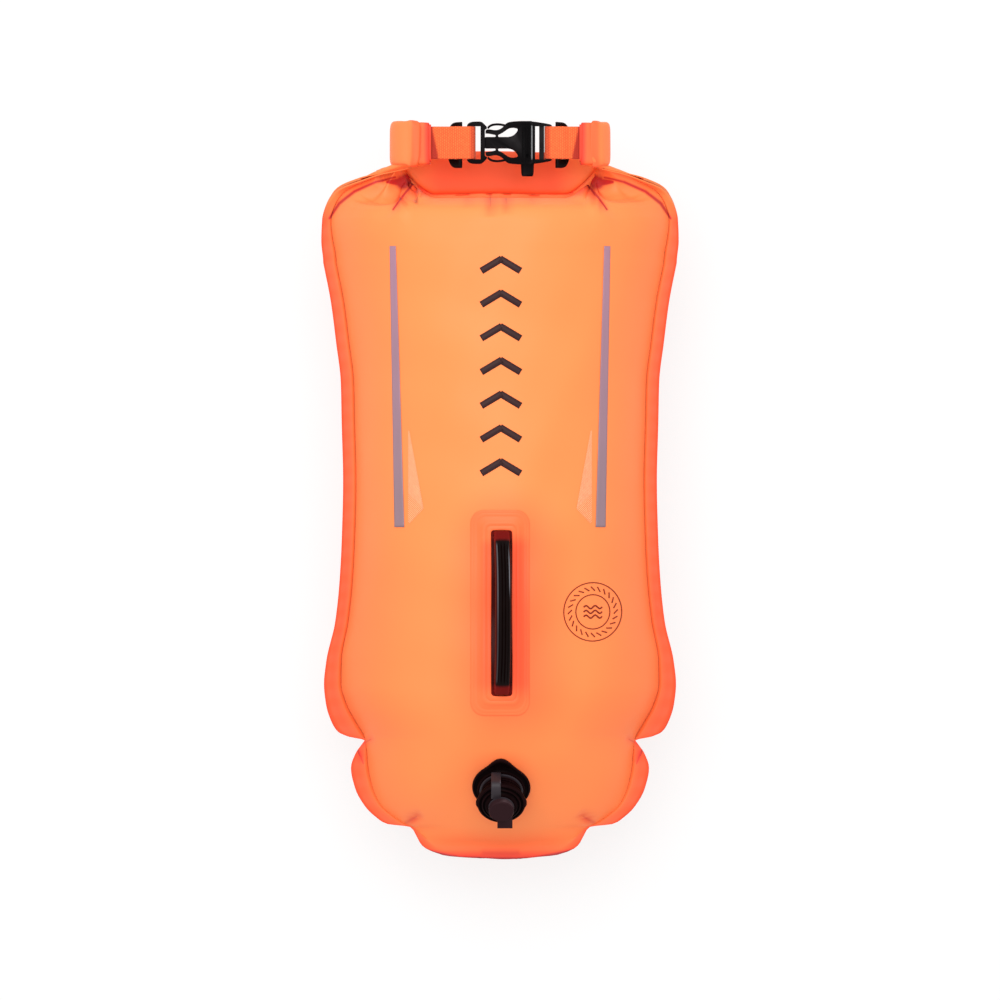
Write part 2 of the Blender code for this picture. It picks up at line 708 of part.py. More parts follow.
def bounds_of(outline):
    xs, ys = [x for x, _ in outline], [y for _, y in outline]
    return min(xs), max(xs), min(ys), max(ys)


def fitted(name, low, high, outline, finish):
    """The part of the front sheet's slab inside an outline seen from the front."""
    slab = over_front(name, low, high, bounds_of(outline), finish)
    return boolean(slab, prism("cut", outline), "INTERSECT")


def moved(outline, x, y):
    return [(px + x, py + y) for px, py in outline]


# The reflective strips, welded on the front


def make_strip(name, side):
    top, bottom = STRIP_TOP_WIDTH / 2, STRIP_BOTTOM_WIDTH / 2
    outline = [
        (side * (STRIP_TOP_X - top), STRIP_TOP_Y), (side * (STRIP_TOP_X + top), STRIP_TOP_Y),
        (side * (STRIP_BOTTOM_X + bottom), STRIP_BOTTOM_Y),
        (side * (STRIP_BOTTOM_X - bottom), STRIP_BOTTOM_Y),
    ]
    return fitted(name, GAP, GAP + STRIP_FILM, outline, SILVER)


# The handle: a rubber arch with a flange, held down by a patch with a long window


def make_patch():
    """Low round its edge, and raised over the handle's flange, which its recess takes."""
    high = GAP + HANDLE_PLATE + GAP
    outline = moved(
        rounded_rectangle(PATCH_WIDTH / 2, PATCH_LENGTH / 2, PATCH_CORNER), PATCH_X, HANDLE_Y)
    flange_x, flange_y = FLANGE_WIDTH / 2 + GAP, FLANGE_LENGTH / 2 + GAP
    wall = PATCH_SHEET
    raised = moved(
        rounded_rectangle(flange_x + wall, flange_y + wall, PATCH_CORNER), HANDLE_X, HANDLE_Y)
    recess = moved(
        rounded_rectangle(flange_x, flange_y, PATCH_CORNER - wall), HANDLE_X, HANDLE_Y)
    window_x, window_y = HANDLE_WIDTH / 2 + WINDOW_MARGIN, HANDLE_LENGTH / 2 + WINDOW_MARGIN
    window = moved(
        rounded_rectangle(window_x, window_y, window_x / 2), HANDLE_X, HANDLE_Y)
    patch = fitted("handle_patch", GAP, GAP + PATCH_SHEET, outline, ORANGE)
    top = fitted("raised", GAP + PATCH_SHEET / 2, high + PATCH_SHEET, raised, ORANGE)
    patch = boolean(patch, top, "UNION")
    under = fitted("under", -PATCH_SHEET, high, recess, None)
    patch = boolean(patch, under)
    return boolean(patch, prism("window", window))


def make_handle():
    """The flange follows the bag, and the arch stands over it, ribbed along its length."""
    outline = moved(
        rounded_rectangle(FLANGE_WIDTH / 2, FLANGE_LENGTH / 2, PATCH_CORNER - PATCH_SHEET),
        HANDLE_X, HANDLE_Y)
    flange = fitted("grab_handle", GAP, GAP + HANDLE_PLATE, outline, GLOSS)
    half_x, half_z = HANDLE_WIDTH / 2, HANDLE_THICKNESS / 2
    half = HANDLE_LENGTH / 2 - half_z
    foot = SHEET / 2 + GAP + HANDLE_PLATE / 2 + half_z
    low, high = (front_point(HANDLE_X, HANDLE_Y + end)[0].z + foot for end in (-half, half))
    flat_x = half_x * HANDLE_TOP_SHARE
    rib = HANDLE_THICKNESS / HANDLE_RIB_SHARE
    section = [(-half_x, 0.0), (-flat_x, -half_z), (flat_x, -half_z), (half_x, 0.0)]
    crests = 2 * HANDLE_RIBS + 1
    for i in range(crests):
        across = flat_x * (1 - 2 * i / (crests - 1))
        section.append((across, half_z - (rib if i % 2 == 0 else 0.0)))
    rings = []
    for i in range(HANDLE_STATIONS + 1):
        t = -math.cos(math.pi * i / HANDLE_STATIONS)
        y = HANDLE_Y + half * t
        z = low + (high - low) * (1 + t) / 2 + HANDLE_RISE * (1 - abs(t) ** HANDLE_ARCH_POWER)
        slope = -HANDLE_RISE * HANDLE_ARCH_POWER * abs(t) ** (HANDLE_ARCH_POWER - 1) / half
        slope = math.copysign(slope, -t) + (high - low) / (2 * half)
        tangent = Vector((0.0, 1.0, slope)).normalized()
        up = Vector((0.0, -tangent.z, tangent.y))
        middle = Vector((HANDLE_X, y, z))
        rings.append([middle + Vector((a, 0.0, 0.0)) + up * b for a, b in section])
    arch = loft("arch", rings, GLOSS)
    return boolean(flange, arch, "UNION")


def front_point(x, y):
    """Where the front sheet's middle surface lies over a place on the ground, and its normal."""
    count = len(columns())
    rows = len(FRONT_GRID) // count
    faces = []
    for r in range(rows - 1):
        for c in range(count - 1):
            a = r * count + c
            faces.append((a, a + 1, a + 1 + count, a + count))
    tree = BVHTree.FromPolygons(FRONT_GRID, faces)
    place, _, face, _ = tree.ray_cast(Vector((x, y, SEAM_HEIGHT * 3)), Vector((0, 0, -1.0)))
    normal = sum((FRONT_NORMALS[i] for i in faces[face]), Vector()).normalized()
    return place, normal


# The valve: a flange welded on the front, and round pieces stacked over it along its own axis


def valve_frame():
    place, normal = front_point(VALVE_X, VALVE_Y)
    axis_z = Vector((0.0, normal.y, normal.z)).normalized()
    axis_x = Vector((1.0, 0.0, 0.0))
    axis_y = axis_z.cross(axis_x)
    frame = Matrix((axis_x, axis_y, axis_z)).transposed().to_4x4()
    frame.translation = place + axis_z * (SHEET / 2)
    return frame


def valve_ring(name, inner, outer, low, high, finish, steps=32):
    """A round piece of the valve, with a bore unless inner is zero."""
    profile = [(inner, high), (outer, high), (outer, low), (inner, low)]
    return turned(name, profile, finish, VALVE_FRAME, steps)


def valve_block(name, x, y, z, finish):
    """A block in the valve's frame from three (least, greatest) pairs."""
    outline = [(x[0], y[0]), (x[1], y[0]), (x[1], y[1]), (x[0], y[1])]
    lift = Matrix.Translation((0, 0, (z[0] + z[1]) / 2))
    return outline_solid(name, [outline], (z[1] - z[0]) / 2, finish, VALVE_FRAME @ lift)


def make_valve():
    gap, radius = GAP, VALVE_FLANGE_RADIUS
    reach = radius * 1.5
    origin = VALVE_FRAME.translation
    box = (origin.x - reach, origin.x + reach, origin.y - reach, origin.y + reach)
    flange = over_front("valve_flange", gap, gap + VALVE_FLANGE_THICKNESS, box, BLACK)
    disc = valve_ring("disc", 0.0, radius, -radius, radius, None)
    flange = boolean(flange, disc, "INTERSECT")
    hub = turned("hub", [
        (0.0, NECK_HEIGHT), (NECK_RADIUS, NECK_HEIGHT), (NECK_RADIUS, HUB_HEIGHT),
        (HUB_RADIUS, HUB_HEIGHT), (HUB_RADIUS, gap + VALVE_FLANGE_THICKNESS / 2),
        (0.0, gap + VALVE_FLANGE_THICKNESS / 2),
    ], BLACK, VALVE_FRAME)
    flange = boolean(flange, hub, "UNION")
    bore = turned("bore", [
        (0.0, NECK_HEIGHT * 2), (SEAT_RADIUS, NECK_HEIGHT * 2),
        (SEAT_RADIUS, NECK_HEIGHT - SEAT_WALL), (NECK_BORE, NECK_HEIGHT - SEAT_WALL),
        (NECK_BORE, -NECK_HEIGHT), (0.0, -NECK_HEIGHT),
    ], None, VALVE_FRAME)
    flange = boolean(flange, bore)
    hole = valve_ring("hole", 0.0, NECK_BORE + gap, -NECK_HEIGHT, NECK_HEIGHT, None)
    panel = bpy.data.objects["front_panel"]
    boolean(panel, hole)
    top = NECK_HEIGHT - SEAT_WALL - gap
    valve_ring("valve_flap", 0.0, NECK_BORE - gap, top - FLAP_THICKNESS, top, CLEAR_RUBBER, 24)
    seal_low = NECK_HEIGHT + gap
    seal_high = seal_low + SEAL_THICKNESS
    valve_ring("valve_seal", CAP_BORE, NECK_RADIUS - gap, seal_low, seal_high, CLEAR_RUBBER, 24)
    body_low = HUB_HEIGHT + gap + TETHER_THICKNESS + gap
    ledge = seal_high + gap
    inner = NECK_RADIUS + gap
    body = turned("valve_body", [
        (CAP_BORE, BODY_TOP), (BODY_TOP_RADIUS, BODY_TOP), (BODY_TOP_RADIUS, WING_TOP),
        (BODY_STEP_RADIUS, WING_TOP), (BODY_STEP_RADIUS, WING_BOTTOM),
        (VALVE_BODY_RADIUS, WING_BOTTOM - BODY_CHAMFER), (VALVE_BODY_RADIUS, body_low),
        (inner, body_low), (inner, ledge), (CAP_BORE, ledge),
    ], BLACK, VALVE_FRAME)
    wings = valve_block(
        "wings", (-WING_REACH, WING_REACH), (-WING_HALF_WIDTH, WING_HALF_WIDTH),
        (WING_BOTTOM + BODY_CHAMFER, WING_TOP - BODY_CHAMFER), BLACK)
    body = boolean(body, wings, "UNION")
    clear_bore = valve_ring("clear_bore", 0.0, CAP_BORE, NECK_HEIGHT, BODY_TOP * 2, None)
    body = boolean(body, clear_bore)
    cap_low = BODY_TOP + gap + TETHER_THICKNESS + gap
    cap = turned("valve_cap", [
        (0.0, VALVE_HEIGHT), (VALVE_CAP_RADIUS * 0.93, VALVE_HEIGHT),
        (VALVE_CAP_RADIUS, VALVE_HEIGHT - BODY_CHAMFER), (VALVE_CAP_RADIUS, cap_low),
        (CAP_NECK_RADIUS, cap_low), (CAP_NECK_RADIUS, BODY_TOP + gap),
        (CAP_BORE - gap, BODY_TOP + gap), (CAP_BORE - gap, CAP_PLUG_LOW), (0.0, CAP_PLUG_LOW),
    ], BLACK, VALVE_FRAME)
    tab = valve_block(
        "tab", TAB_SIDES, (-VALVE_CAP_RADIUS - TAB_REACH, -VALVE_CAP_RADIUS / 2),
        (cap_low + BODY_CHAMFER / 2, cap_low + BODY_CHAMFER / 2 + TETHER_THICKNESS), BLACK)
    cap = boolean(cap, tab, "UNION")
    make_tether(cap_low)
    return [flange, body, cap]


def make_tether(cap_low):
    """A band with a ring at each end: one round the neck, one round the cap's groove."""
    gap, half = GAP, TETHER_THICKNESS / 2
    low, high = HUB_HEIGHT + gap + half, BODY_TOP + gap + half
    tether = valve_ring(
        "valve_tether", NECK_RADIUS + gap, TETHER_RING_RADIUS, low - half, low + half, BLACK)
    ring = valve_ring(
        "upper_ring", CAP_NECK_RADIUS + gap, TETHER_SMALL_RADIUS, high - half, high + half, BLACK)
    inside = VALVE_BODY_RADIUS + gap + half
    line = [
        (TETHER_RING_RADIUS - TETHER_THICKNESS, low), (inside, low),
        (inside + TETHER_THICKNESS, low + TETHER_THICKNESS),
        (inside + TETHER_THICKNESS, WING_BOTTOM), (inside, WING_TOP),
        (BODY_TOP_RADIUS + TETHER_THICKNESS * 2, high),
        (TETHER_SMALL_RADIUS - TETHER_THICKNESS, high),
    ]
    turn = Matrix(((0, 0, 1, 0), (1, 0, 0, 0), (0, 1, 0, 0), (0, 0, 0, 1)))
    lift = Matrix.Translation((TETHER_X, 0, 0))
    band = outline_solid(
        "band", [ribbon(line, TETHER_THICKNESS * BAND_SHARE)], TETHER_WIDTH / 2, BLACK,
        VALVE_FRAME @ lift @ turn)
    tether = boolean(tether, band, "UNION")
    return boolean(tether, ring, "UNION")


def ribbon(line, thickness):
    """The closed outline of a band of even thickness along a line of points."""
    left, right = [], []
    for i, here in enumerate(line):
        before = line[max(0, i - 1)]
        after = line[min(len(line) - 1, i + 1)]
        first = direction(before, here) if i else direction(here, after)
        second = direction(here, after) if i < len(line) - 1 else first
        normal = (-(first[1] + second[1]), first[0] + second[0])
        length = math.hypot(*normal)
        normal = (normal[0] / length, normal[1] / length)
        spread = thickness / 2 / (-first[1] * normal[0] + first[0] * normal[1])
        left.append((here[0] + normal[0] * spread, here[1] + normal[1] * spread))
        right.append((here[0] - normal[0] * spread, here[1] - normal[1] * spread))
    return left + right[::-1]


def direction(a, b):
    length = math.hypot(b[0] - a[0], b[1] - a[1])
    return (b[0] - a[0]) / length, (b[1] - a[1]) / length


# The straps: webbing doubled round a bar of the buckle, its two ends held inside the roll


def strap_line(bar_to_ring, bar_to_end):
    """Half of the strap's line from the end in the roll to the bar, as (distance, height)."""
    apart = (STRAP_THICKNESS + GAP) / 2
    round_ring = RING_WIRE / 2 + GAP + STRAP_THICKNESS / 2
    round_bar = BAR / 2 + GAP + STRAP_THICKNESS / 2
    line = [(bar_to_end, apart)]
    start = bar_to_ring + RING_WIRE
    fall = STRAP_FALL
    for i in range(STRAP_STEPS, -1, -1):
        t = i / STRAP_STEPS
        line.append((start + fall * t, round_ring + (apart - round_ring) * ease(t)))
    line.append((bar_to_ring - RING_WIRE, round_ring))
    return line, round_bar


def make_strap(name, bar_x, ring_x, end_x, side):
    bar_to_ring, bar_to_end = abs(ring_x - bar_x), abs(end_x - bar_x) + STRAP_IN_ROLL
    line, round_bar = strap_line(bar_to_ring, bar_to_end)
    wrap = arc((0.0, 0.0), round_bar, 90, 270, WRAP_STEPS)
    whole = line + wrap + [(u, -w) for u, w in line[::-1]]
    outline = [(bar_x + side * u, w) for u, w in ribbon(whole, STRAP_THICKNESS)]
    upright = Matrix(((1, 0, 0, 0), (0, 0, 1, MOUTH_FRONT_Y), (0, 1, 0, STRAP_Z), (0, 0, 0, 1)))
    return outline_solid(name, [outline], STRAP_WIDTH / 2, WEBBING, upright)


# The D-rings: a straight bar between the strap's two layers, and a bow that hangs behind


def make_ring(name, ring_x, side):
    half = (RING_INSIDE_LENGTH + RING_WIRE) / 2
    corner = RING_WIRE * 0.8
    path = [(0.0, -half + corner), (0.0, -half / 3), (0.0, half / 3), (0.0, half - corner)]
    path += [(corner * 0.3, half - corner * 0.3)]
    for i in range(RING_STEPS + 1):
        angle = math.pi * i / RING_STEPS
        path.append((
            corner + (RING_REACH - corner) * math.sin(angle) ** RING_SQUARENESS,
            half * math.cos(angle),
        ))
    path += [(corner * 0.3, -half + corner * 0.3)]
    bm = bmesh.new()
    rings = []
    count = len(path)
    for i, (x, y) in enumerate(path):
        before, after = path[i - 1], path[(i + 1) % count]
        first, second = direction(before, (x, y)), direction((x, y), after)
        normal = (-(first[1] + second[1]), first[0] + second[0])
        length = math.hypot(*normal)
        normal = (normal[0] / length, normal[1] / length)
        ring = []
        for k in range(RING_SIDES):
            angle = 2 * math.pi * (k + 0.5) / RING_SIDES
            across, up = RING_WIRE / 2 * math.cos(angle), RING_WIRE / 2 * math.sin(angle)
            ring.append(bm.verts.new((x + normal[0] * across, y + normal[1] * across, up)))
        rings.append(ring)
    for a, b in zip(rings, rings[1:] + rings[:1]):
        for k in range(RING_SIDES):
            j = (k + 1) % RING_SIDES
            bm.faces.new((a[k], a[j], b[j], b[k]))
    turn = Matrix.Rotation(RING_TILT * side, 4, "Y") @ Matrix.Scale(side, 4, (1, 0, 0))
    place = Matrix.Translation((ring_x, MOUTH_FRONT_Y - RING_DROP, STRAP_Z))
    bm.transform(turn)
    made = object_from_bmesh(name, bm, BLACK)
    made.location = place.translation
    return smooth_shading(made)


# The buckle


def buckle_point(share_x, share_v):
    return (
        BUCKLE_LEFT_X + share_x * BUCKLE_LENGTH,
        MOUTH_FRONT_Y + share_v * BUCKLE_HALF_WIDTH,
    )


def softened(points, closed=True):
    """A line or an outline with its corners cut, as far as their sides are long enough."""
    made = []
    count = len(points)
    for i, (x, y) in enumerate(points):
        if not closed and i in (0, count - 1):
            made.append((x, y))
            continue
        sides = [points[i - 1], points[(i + 1) % count]]
        cut = min([CORNER_CUT] + [math.dist((x, y), end) / 3 for end in sides])
        for end in sides:
            toward = direction((x, y), end)
            made.append((x + toward[0] * cut, y + toward[1] * cut))
    return made


def mirrored(shares):
    """A moulded outline from its upper half, read from left to right."""
    upper = [buckle_point(*s) for s in shares]
    lower = [buckle_point(x, -v) for x, v in shares[::-1]]
    return softened(upper + lower)


def buckle_outline(name, loops, half_thickness, finish=None):
    frame = Matrix.Translation((0, 0, STRAP_Z))
    return outline_solid(name, loops, half_thickness, finish, frame)


def buckle_box(name, low, high, half_thickness, finish=None):
    """A block between two (share, share) corners of the buckle."""
    (x0, y0), (x1, y1) = buckle_point(*low), buckle_point(*high)
    return buckle_outline(name, [[(x0, y0), (x1, y0), (x1, y1), (x0, y1)]], half_thickness, finish)


def make_plug():
    plug = buckle_outline("buckle_plug", [mirrored(PLUG_SHARES)], FRAME_HALF_THICKNESS, BLACK)
    plug = boolean(plug, buckle_box("window", *PLUG_WINDOW_SHARES, BUCKLE_THICKNESS))
    bar = round_bar("bar", PLUG_BAR_SHARE, BAR / 2, BAR_END_SHARES, BLACK, 16)
    plug = boolean(plug, bar, "UNION")
    guide = buckle_box("guide", *PLUG_GUIDE_SHARES, PRONG_HALF_THICKNESS, BLACK)
    return boolean(plug, guide, "UNION")


def make_prong(name, side):
    """The prong's arm with its hook; its origin is on the root that it bends about."""
    line = [buckle_point(x, side * v) for x, v in PRONG_SHARES]
    bow = ribbon(softened(line, closed=False), PRONG_WIDTH)
    arm = buckle_outline(name, [bow], PRONG_HALF_THICKNESS, BLACK)
    hook = [buckle_point(x, side * v) for x, v in HOOK_SHARES]
    prong = boolean(arm, buckle_outline("hook", [hook], PRONG_HALF_THICKNESS, BLACK), "UNION")
    root = Vector((*buckle_point(PRONG_ROOT_SHARES[0], side * PRONG_ROOT_SHARES[1]), STRAP_Z))
    prong.data.transform(Matrix.Translation(-root))
    prong.location = root
    return prong


def make_socket():
    half = BUCKLE_THICKNESS / 2
    socket = buckle_outline("buckle_socket", [mirrored(SOCKET_SHARES)], half, BLACK)
    frame = buckle_outline("frame", [mirrored(LADDER_SHARES)], FRAME_HALF_THICKNESS, BLACK)
    opening = buckle_box("opening", *LADDER_OPENING_SHARES, half * 2)
    frame = boolean(frame, opening)
    socket = boolean(socket, frame, "UNION")
    crossbar = buckle_box("crossbar", *CROSSBAR_SHARES, BAR / 2, BLACK)
    socket = boolean(socket, crossbar, "UNION")
    bar = round_bar("bar", LADDER_BAR_SHARE, BAR / 2, BAR_END_SHARES, BLACK, 16)
    socket = boolean(socket, bar, "UNION")
    ridge = round_bar("ridge", WHISTLE_SHARE, WHISTLE_RADIUS, WHISTLE_BARREL_SHARES, BLACK, 20)
    socket = boolean(socket, ridge, "UNION")
    socket = boolean(socket, mouthpiece(), "UNION")
    inner = half - PLATE
    for low, high in SOCKET_CHANNEL_SHARES:
        socket = boolean(socket, buckle_box("channel", low, high, inner))
    for side in (1.0, -1.0):
        for shares in SOCKET_WINDOW_SHARES:
            window = softened([buckle_point(x, side * v) for x, v in shares])
            socket = boolean(socket, buckle_outline("window", [window], half * 2))
    chamber = round_bar(
        "chamber", WHISTLE_SHARE, WHISTLE_CHAMBER_RADIUS, WHISTLE_CHAMBER_SHARES, None, 20)
    socket = boolean(socket, chamber)
    duct = buckle_box("duct", *WHISTLE_DUCT_SHARES, WHISTLE_DUCT_HALF)
    socket = boolean(socket, duct)
    x, y = buckle_point(*WHISTLE_HOLE_SHARES)
    hole = turned(
        "hole", [
            (0.0, half * 2), (WHISTLE_HOLE_RADIUS, half * 2), (WHISTLE_HOLE_RADIUS, 0.0), (0.0, 0.0),
        ], None, Matrix.Translation((x, y, STRAP_Z)), 12)
    return boolean(socket, hole)


def round_bar(name, share_x, radius, ends, finish, steps):
    """A round bar across the buckle between two shares of its half width."""
    x, y0 = buckle_point(share_x, ends[0])
    _, y1 = buckle_point(share_x, ends[1])
    frame = Matrix(((1, 0, 0, x), (0, 0, 1, y0), (0, -1, 0, STRAP_Z), (0, 0, 0, 1)))
    profile = [(0.0, y1 - y0), (radius, y1 - y0), (radius, 0.0), (0.0, 0.0)]
    return turned(name, profile, finish, frame, steps)


def mouthpiece():
    """The tapered end of the whistle, below the buckle."""
    rings = []
    for share_v, width, thickness in MOUTHPIECE_SHARES:
        x, y = buckle_point(WHISTLE_SHARE, share_v)
        outline = rounded_rectangle(
            width * BUCKLE_HALF_WIDTH, thickness * BUCKLE_HALF_WIDTH,
            thickness * BUCKLE_HALF_WIDTH * 0.6, 2)
        rings.append([Vector((x + a, y, STRAP_Z + b)) for a, b in outline])
    return loft("mouthpiece", rings, BLACK)


_, FRONT_GRID, FRONT_NORMALS = make_sheets()
VALVE_FRAME = valve_frame()
make_mouth()
make_strip("reflective_strip_left", -1.0)
make_strip("reflective_strip_right", 1.0)
make_patch()
make_handle()
make_valve()
make_strap("strap_left", PLUG_BAR_X, LEFT_RING_X, -LEFT_END_X, -1.0)
make_strap("strap_right", LADDER_BAR_X, RIGHT_RING_X, RIGHT_END_X, 1.0)
make_ring("d_ring_left", LEFT_RING_X, -1.0)
make_ring("d_ring_right", RIGHT_RING_X, 1.0)
make_plug()
make_prong("buckle_prong_upper", 1.0)
make_prong("buckle_prong_lower", -1.0)
make_socket()

# Each piece gets a material of its own, named for it
for piece in PARTS.objects:
    own = piece.data.materials[0].copy()
    own.name = piece.name
    piece.data.materials.clear()
    piece.data.materials.append(own)
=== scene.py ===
"""Open water swim buoy: an inflatable dry bag, blown up and rolled shut, lying on its back.

Metres. +X is the bag's right side as it is looked at, +Y runs towards the mouth, +Z comes out of
the front face. Each section makes one piece, or a group of like pieces, in the order in which the
buoy is put together.
"""

import json
import math

import bmesh
import bpy
import numpy as np
from mathutils import Matrix, Vector
from mathutils.bvhtree import BVHTree


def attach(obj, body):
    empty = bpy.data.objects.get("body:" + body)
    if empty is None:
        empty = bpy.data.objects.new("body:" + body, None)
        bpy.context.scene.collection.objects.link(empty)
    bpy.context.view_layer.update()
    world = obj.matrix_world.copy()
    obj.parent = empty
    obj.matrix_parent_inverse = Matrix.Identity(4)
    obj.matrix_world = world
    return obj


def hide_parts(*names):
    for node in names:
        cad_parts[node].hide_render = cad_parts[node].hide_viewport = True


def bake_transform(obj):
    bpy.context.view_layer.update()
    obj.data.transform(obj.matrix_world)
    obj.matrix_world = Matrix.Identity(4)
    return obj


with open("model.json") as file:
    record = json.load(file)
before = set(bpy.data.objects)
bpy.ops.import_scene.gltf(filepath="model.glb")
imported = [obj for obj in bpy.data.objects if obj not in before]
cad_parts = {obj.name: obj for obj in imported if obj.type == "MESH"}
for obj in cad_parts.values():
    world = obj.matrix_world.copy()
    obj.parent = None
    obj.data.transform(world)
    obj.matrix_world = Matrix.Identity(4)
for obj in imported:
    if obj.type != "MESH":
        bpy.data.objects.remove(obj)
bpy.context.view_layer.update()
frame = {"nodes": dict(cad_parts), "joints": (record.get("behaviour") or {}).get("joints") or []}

# The view, the floor and the light. The bag lies on a plain white table and is looked at from
# straight above through a long lens. One broad soft lamp hangs over its mouth end.

VIEW_CENTRE = (0.0, -0.0084)
VIEW_WIDTH = 0.765
VIEW_DISTANCE = 6.0
VIEW_LEVEL = 0.105  # height at which the view is VIEW_WIDTH wide
SENSOR_WIDTH = 36.0
FLOOR_SIZE = 12.0
FLOOR_GREY = (0.86, 0.86, 0.86, 1.0)
FLOOR_WHITENESS = 0.80  # how much of the floor the camera sees as plain white
LAMP_SIZE = 2.4
LAMP_POWER = 62.0
LAMP_PLACE = (-0.25, 1.1, 2.6)
SKY_STRENGTH = 0.80

scene = bpy.context.scene
scene.view_settings.view_transform = "Standard"


def placed(name, data):
    """A new object of the scene, with its mesh, lamp or camera."""
    obj = bpy.data.objects.new(name, data)
    scene.collection.objects.link(obj)
    return obj


def wire(tree, node, values):
    """A node with its inputs set: an output is linked, and anything else is the input's value."""
    for place, value in values.items():
        if isinstance(value, bpy.types.NodeSocket):
            tree.links.new(value, node.inputs[place])
        else:
            node.inputs[place].default_value = value
    return node


def add(tree, kind, values=(), **settings):
    """A new node of a kind, with its settings and its inputs."""
    node = tree.nodes.new(kind)
    for name, value in settings.items():
        setattr(node, name, value)
    return wire(tree, node, dict(values))


def math_node(tree, operation, *values):
    """The output of one step of arithmetic on numbers or outputs."""
    return add(tree, "ShaderNodeMath", enumerate(values), operation=operation).outputs[0]


def seen_ray(tree):
    """1 for rays that the camera, a reflection or glass sees directly, and 0 for the light."""
    path = add(tree, "ShaderNodeLightPath").outputs
    first = math_node(tree, "MAXIMUM", path["Is Camera Ray"], path["Is Glossy Ray"])
    return math_node(tree, "MAXIMUM", first, path["Is Transmission Ray"])


camera_data = bpy.data.cameras.new("camera")
camera_data.sensor_width = SENSOR_WIDTH
camera_data.lens = SENSOR_WIDTH * VIEW_DISTANCE / VIEW_WIDTH
camera_data.dof.use_dof = False
camera = placed("camera", camera_data)
camera.location = (*VIEW_CENTRE, VIEW_DISTANCE + VIEW_LEVEL)
scene.camera = camera

floor_finish = bpy.data.materials.new("white_table")
floor_finish.use_nodes = True
tree = floor_finish.node_tree
tree.nodes.clear()
matt = add(tree, "ShaderNodeBsdfDiffuse", {"Color": FLOOR_GREY})
glow = add(tree, "ShaderNodeEmission")
mix = add(tree, "ShaderNodeMixShader", {
    "Fac": math_node(tree, "MULTIPLY", seen_ray(tree), FLOOR_WHITENESS),
    1: matt.outputs[0], 2: glow.outputs[0]})
add(tree, "ShaderNodeOutputMaterial", {"Surface": mix.outputs[0]})

floor_mesh = bpy.data.meshes.new("floor")
corner = FLOOR_SIZE / 2
floor_mesh.from_pydata(
    [(-corner, -corner, 0), (corner, -corner, 0), (corner, corner, 0), (-corner, corner, 0)],
    [], [(0, 1, 2, 3)])
floor_mesh.materials.append(floor_finish)
floor = placed("floor", floor_mesh)

world = bpy.data.worlds.new("soft_sky")
world.use_nodes = True
tree = world.node_tree
strength = add(tree, "ShaderNodeMapRange", {
    "Value": seen_ray(tree), "To Min": SKY_STRENGTH, "To Max": 1.0})
wire(tree, tree.nodes["Background"], {
    "Color": (1.0, 1.0, 1.0, 1.0), "Strength": strength.outputs["Result"]})
scene.world = world

lamp_data = bpy.data.lights.new("soft_lamp", "AREA")
lamp_data.shape = "SQUARE"
lamp_data.size = LAMP_SIZE
lamp_data.energy = LAMP_POWER
lamp = placed("soft_lamp", lamp_data)
lamp.location = LAMP_PLACE
lamp.rotation_euler = (Vector((0, 0, 0)) - Vector(LAMP_PLACE)).to_track_quat("-Z", "Y").to_euler()

# The bag's three sheets: coated polyester cloth, cut to one outline and welded together round the
# edge. Air between the front and the inner sheet domes the front one, and the rear one rests on
# the table. The corners are scalloped, and the shoulders pleat under the rolled mouth.

HALF_WIDTH = 0.1373
BODY_LENGTH = 0.533
BOTTOM_Y = -0.2819
SEAM_HEIGHT = 0.078
FRONT_CROWN = 0.078
GROUND_SINK = 0.003
SEAM_BAND = 0.0105
SHEET = 0.0009
GAP = 0.0003
END_ROUNDING = 0.118
SHOULDER_DROP = 0.0022
END_RAISE = 0.0045  # how much deeper the sheets' ends run into the roll
END_RAISE_FROM, END_RAISE_OVER = 0.66, 0.22  # as shares of the mouth's half width
SWELL_LEAN = 0.6
SEAM_ANGLE = math.radians(69)
MOUTH_HALF_SPAN = 0.0775
MOUTH_DEPTH = 0.046
MOUTH_CORNER = 0.012
MOUTH_CORNERS = (1, 3)  # which of the five parts of the mouth's path are corners
MOUTH_RISE_FROM = 0.75
LEFT_END_X = 0.0525
RIGHT_END_X = 0.0605
MOUTH_BACK_Y = 0.2427
MOUTH_FRONT_Y = 0.2640
ROLL_HALF_HEIGHT = 0.01715

# Place along the bag, half width to the seam's outer edge and half width that the air gives it, as
# shares of its length and half width
OUTLINE_SHARES = (
    (0.000, 0.150, 0.150), (0.0035, 0.320, 0.320), (0.0150, 0.435, 0.435), (0.029, 0.468, 0.500),
    (0.042, 0.503, 0.560),
    (0.046, 0.628, 0.600), (0.055, 0.689, 0.655), (0.072, 0.756, 0.735), (0.098, 0.811, 0.785),
    (0.127, 0.834, 0.810), (0.149, 0.806, 0.818), (0.162, 0.770, 0.824), (0.1670, 0.757, 0.828),
    (0.1720, 0.846, 0.832), (0.1790, 0.906, 0.845), (0.1920, 0.940, 0.875), (0.218, 0.973, 0.930),
    (0.248, 0.985, 0.962), (0.281, 0.972, 0.960), (0.338, 0.922, 0.922), (0.396, 0.898, 0.898),
    (0.453, 0.886, 0.886), (0.540, 0.878, 0.878), (0.625, 0.886, 0.886), (0.683, 0.891, 0.891),
    (0.740, 0.917, 0.917), (0.798, 0.946, 0.946), (0.855, 0.989, 0.989),
)
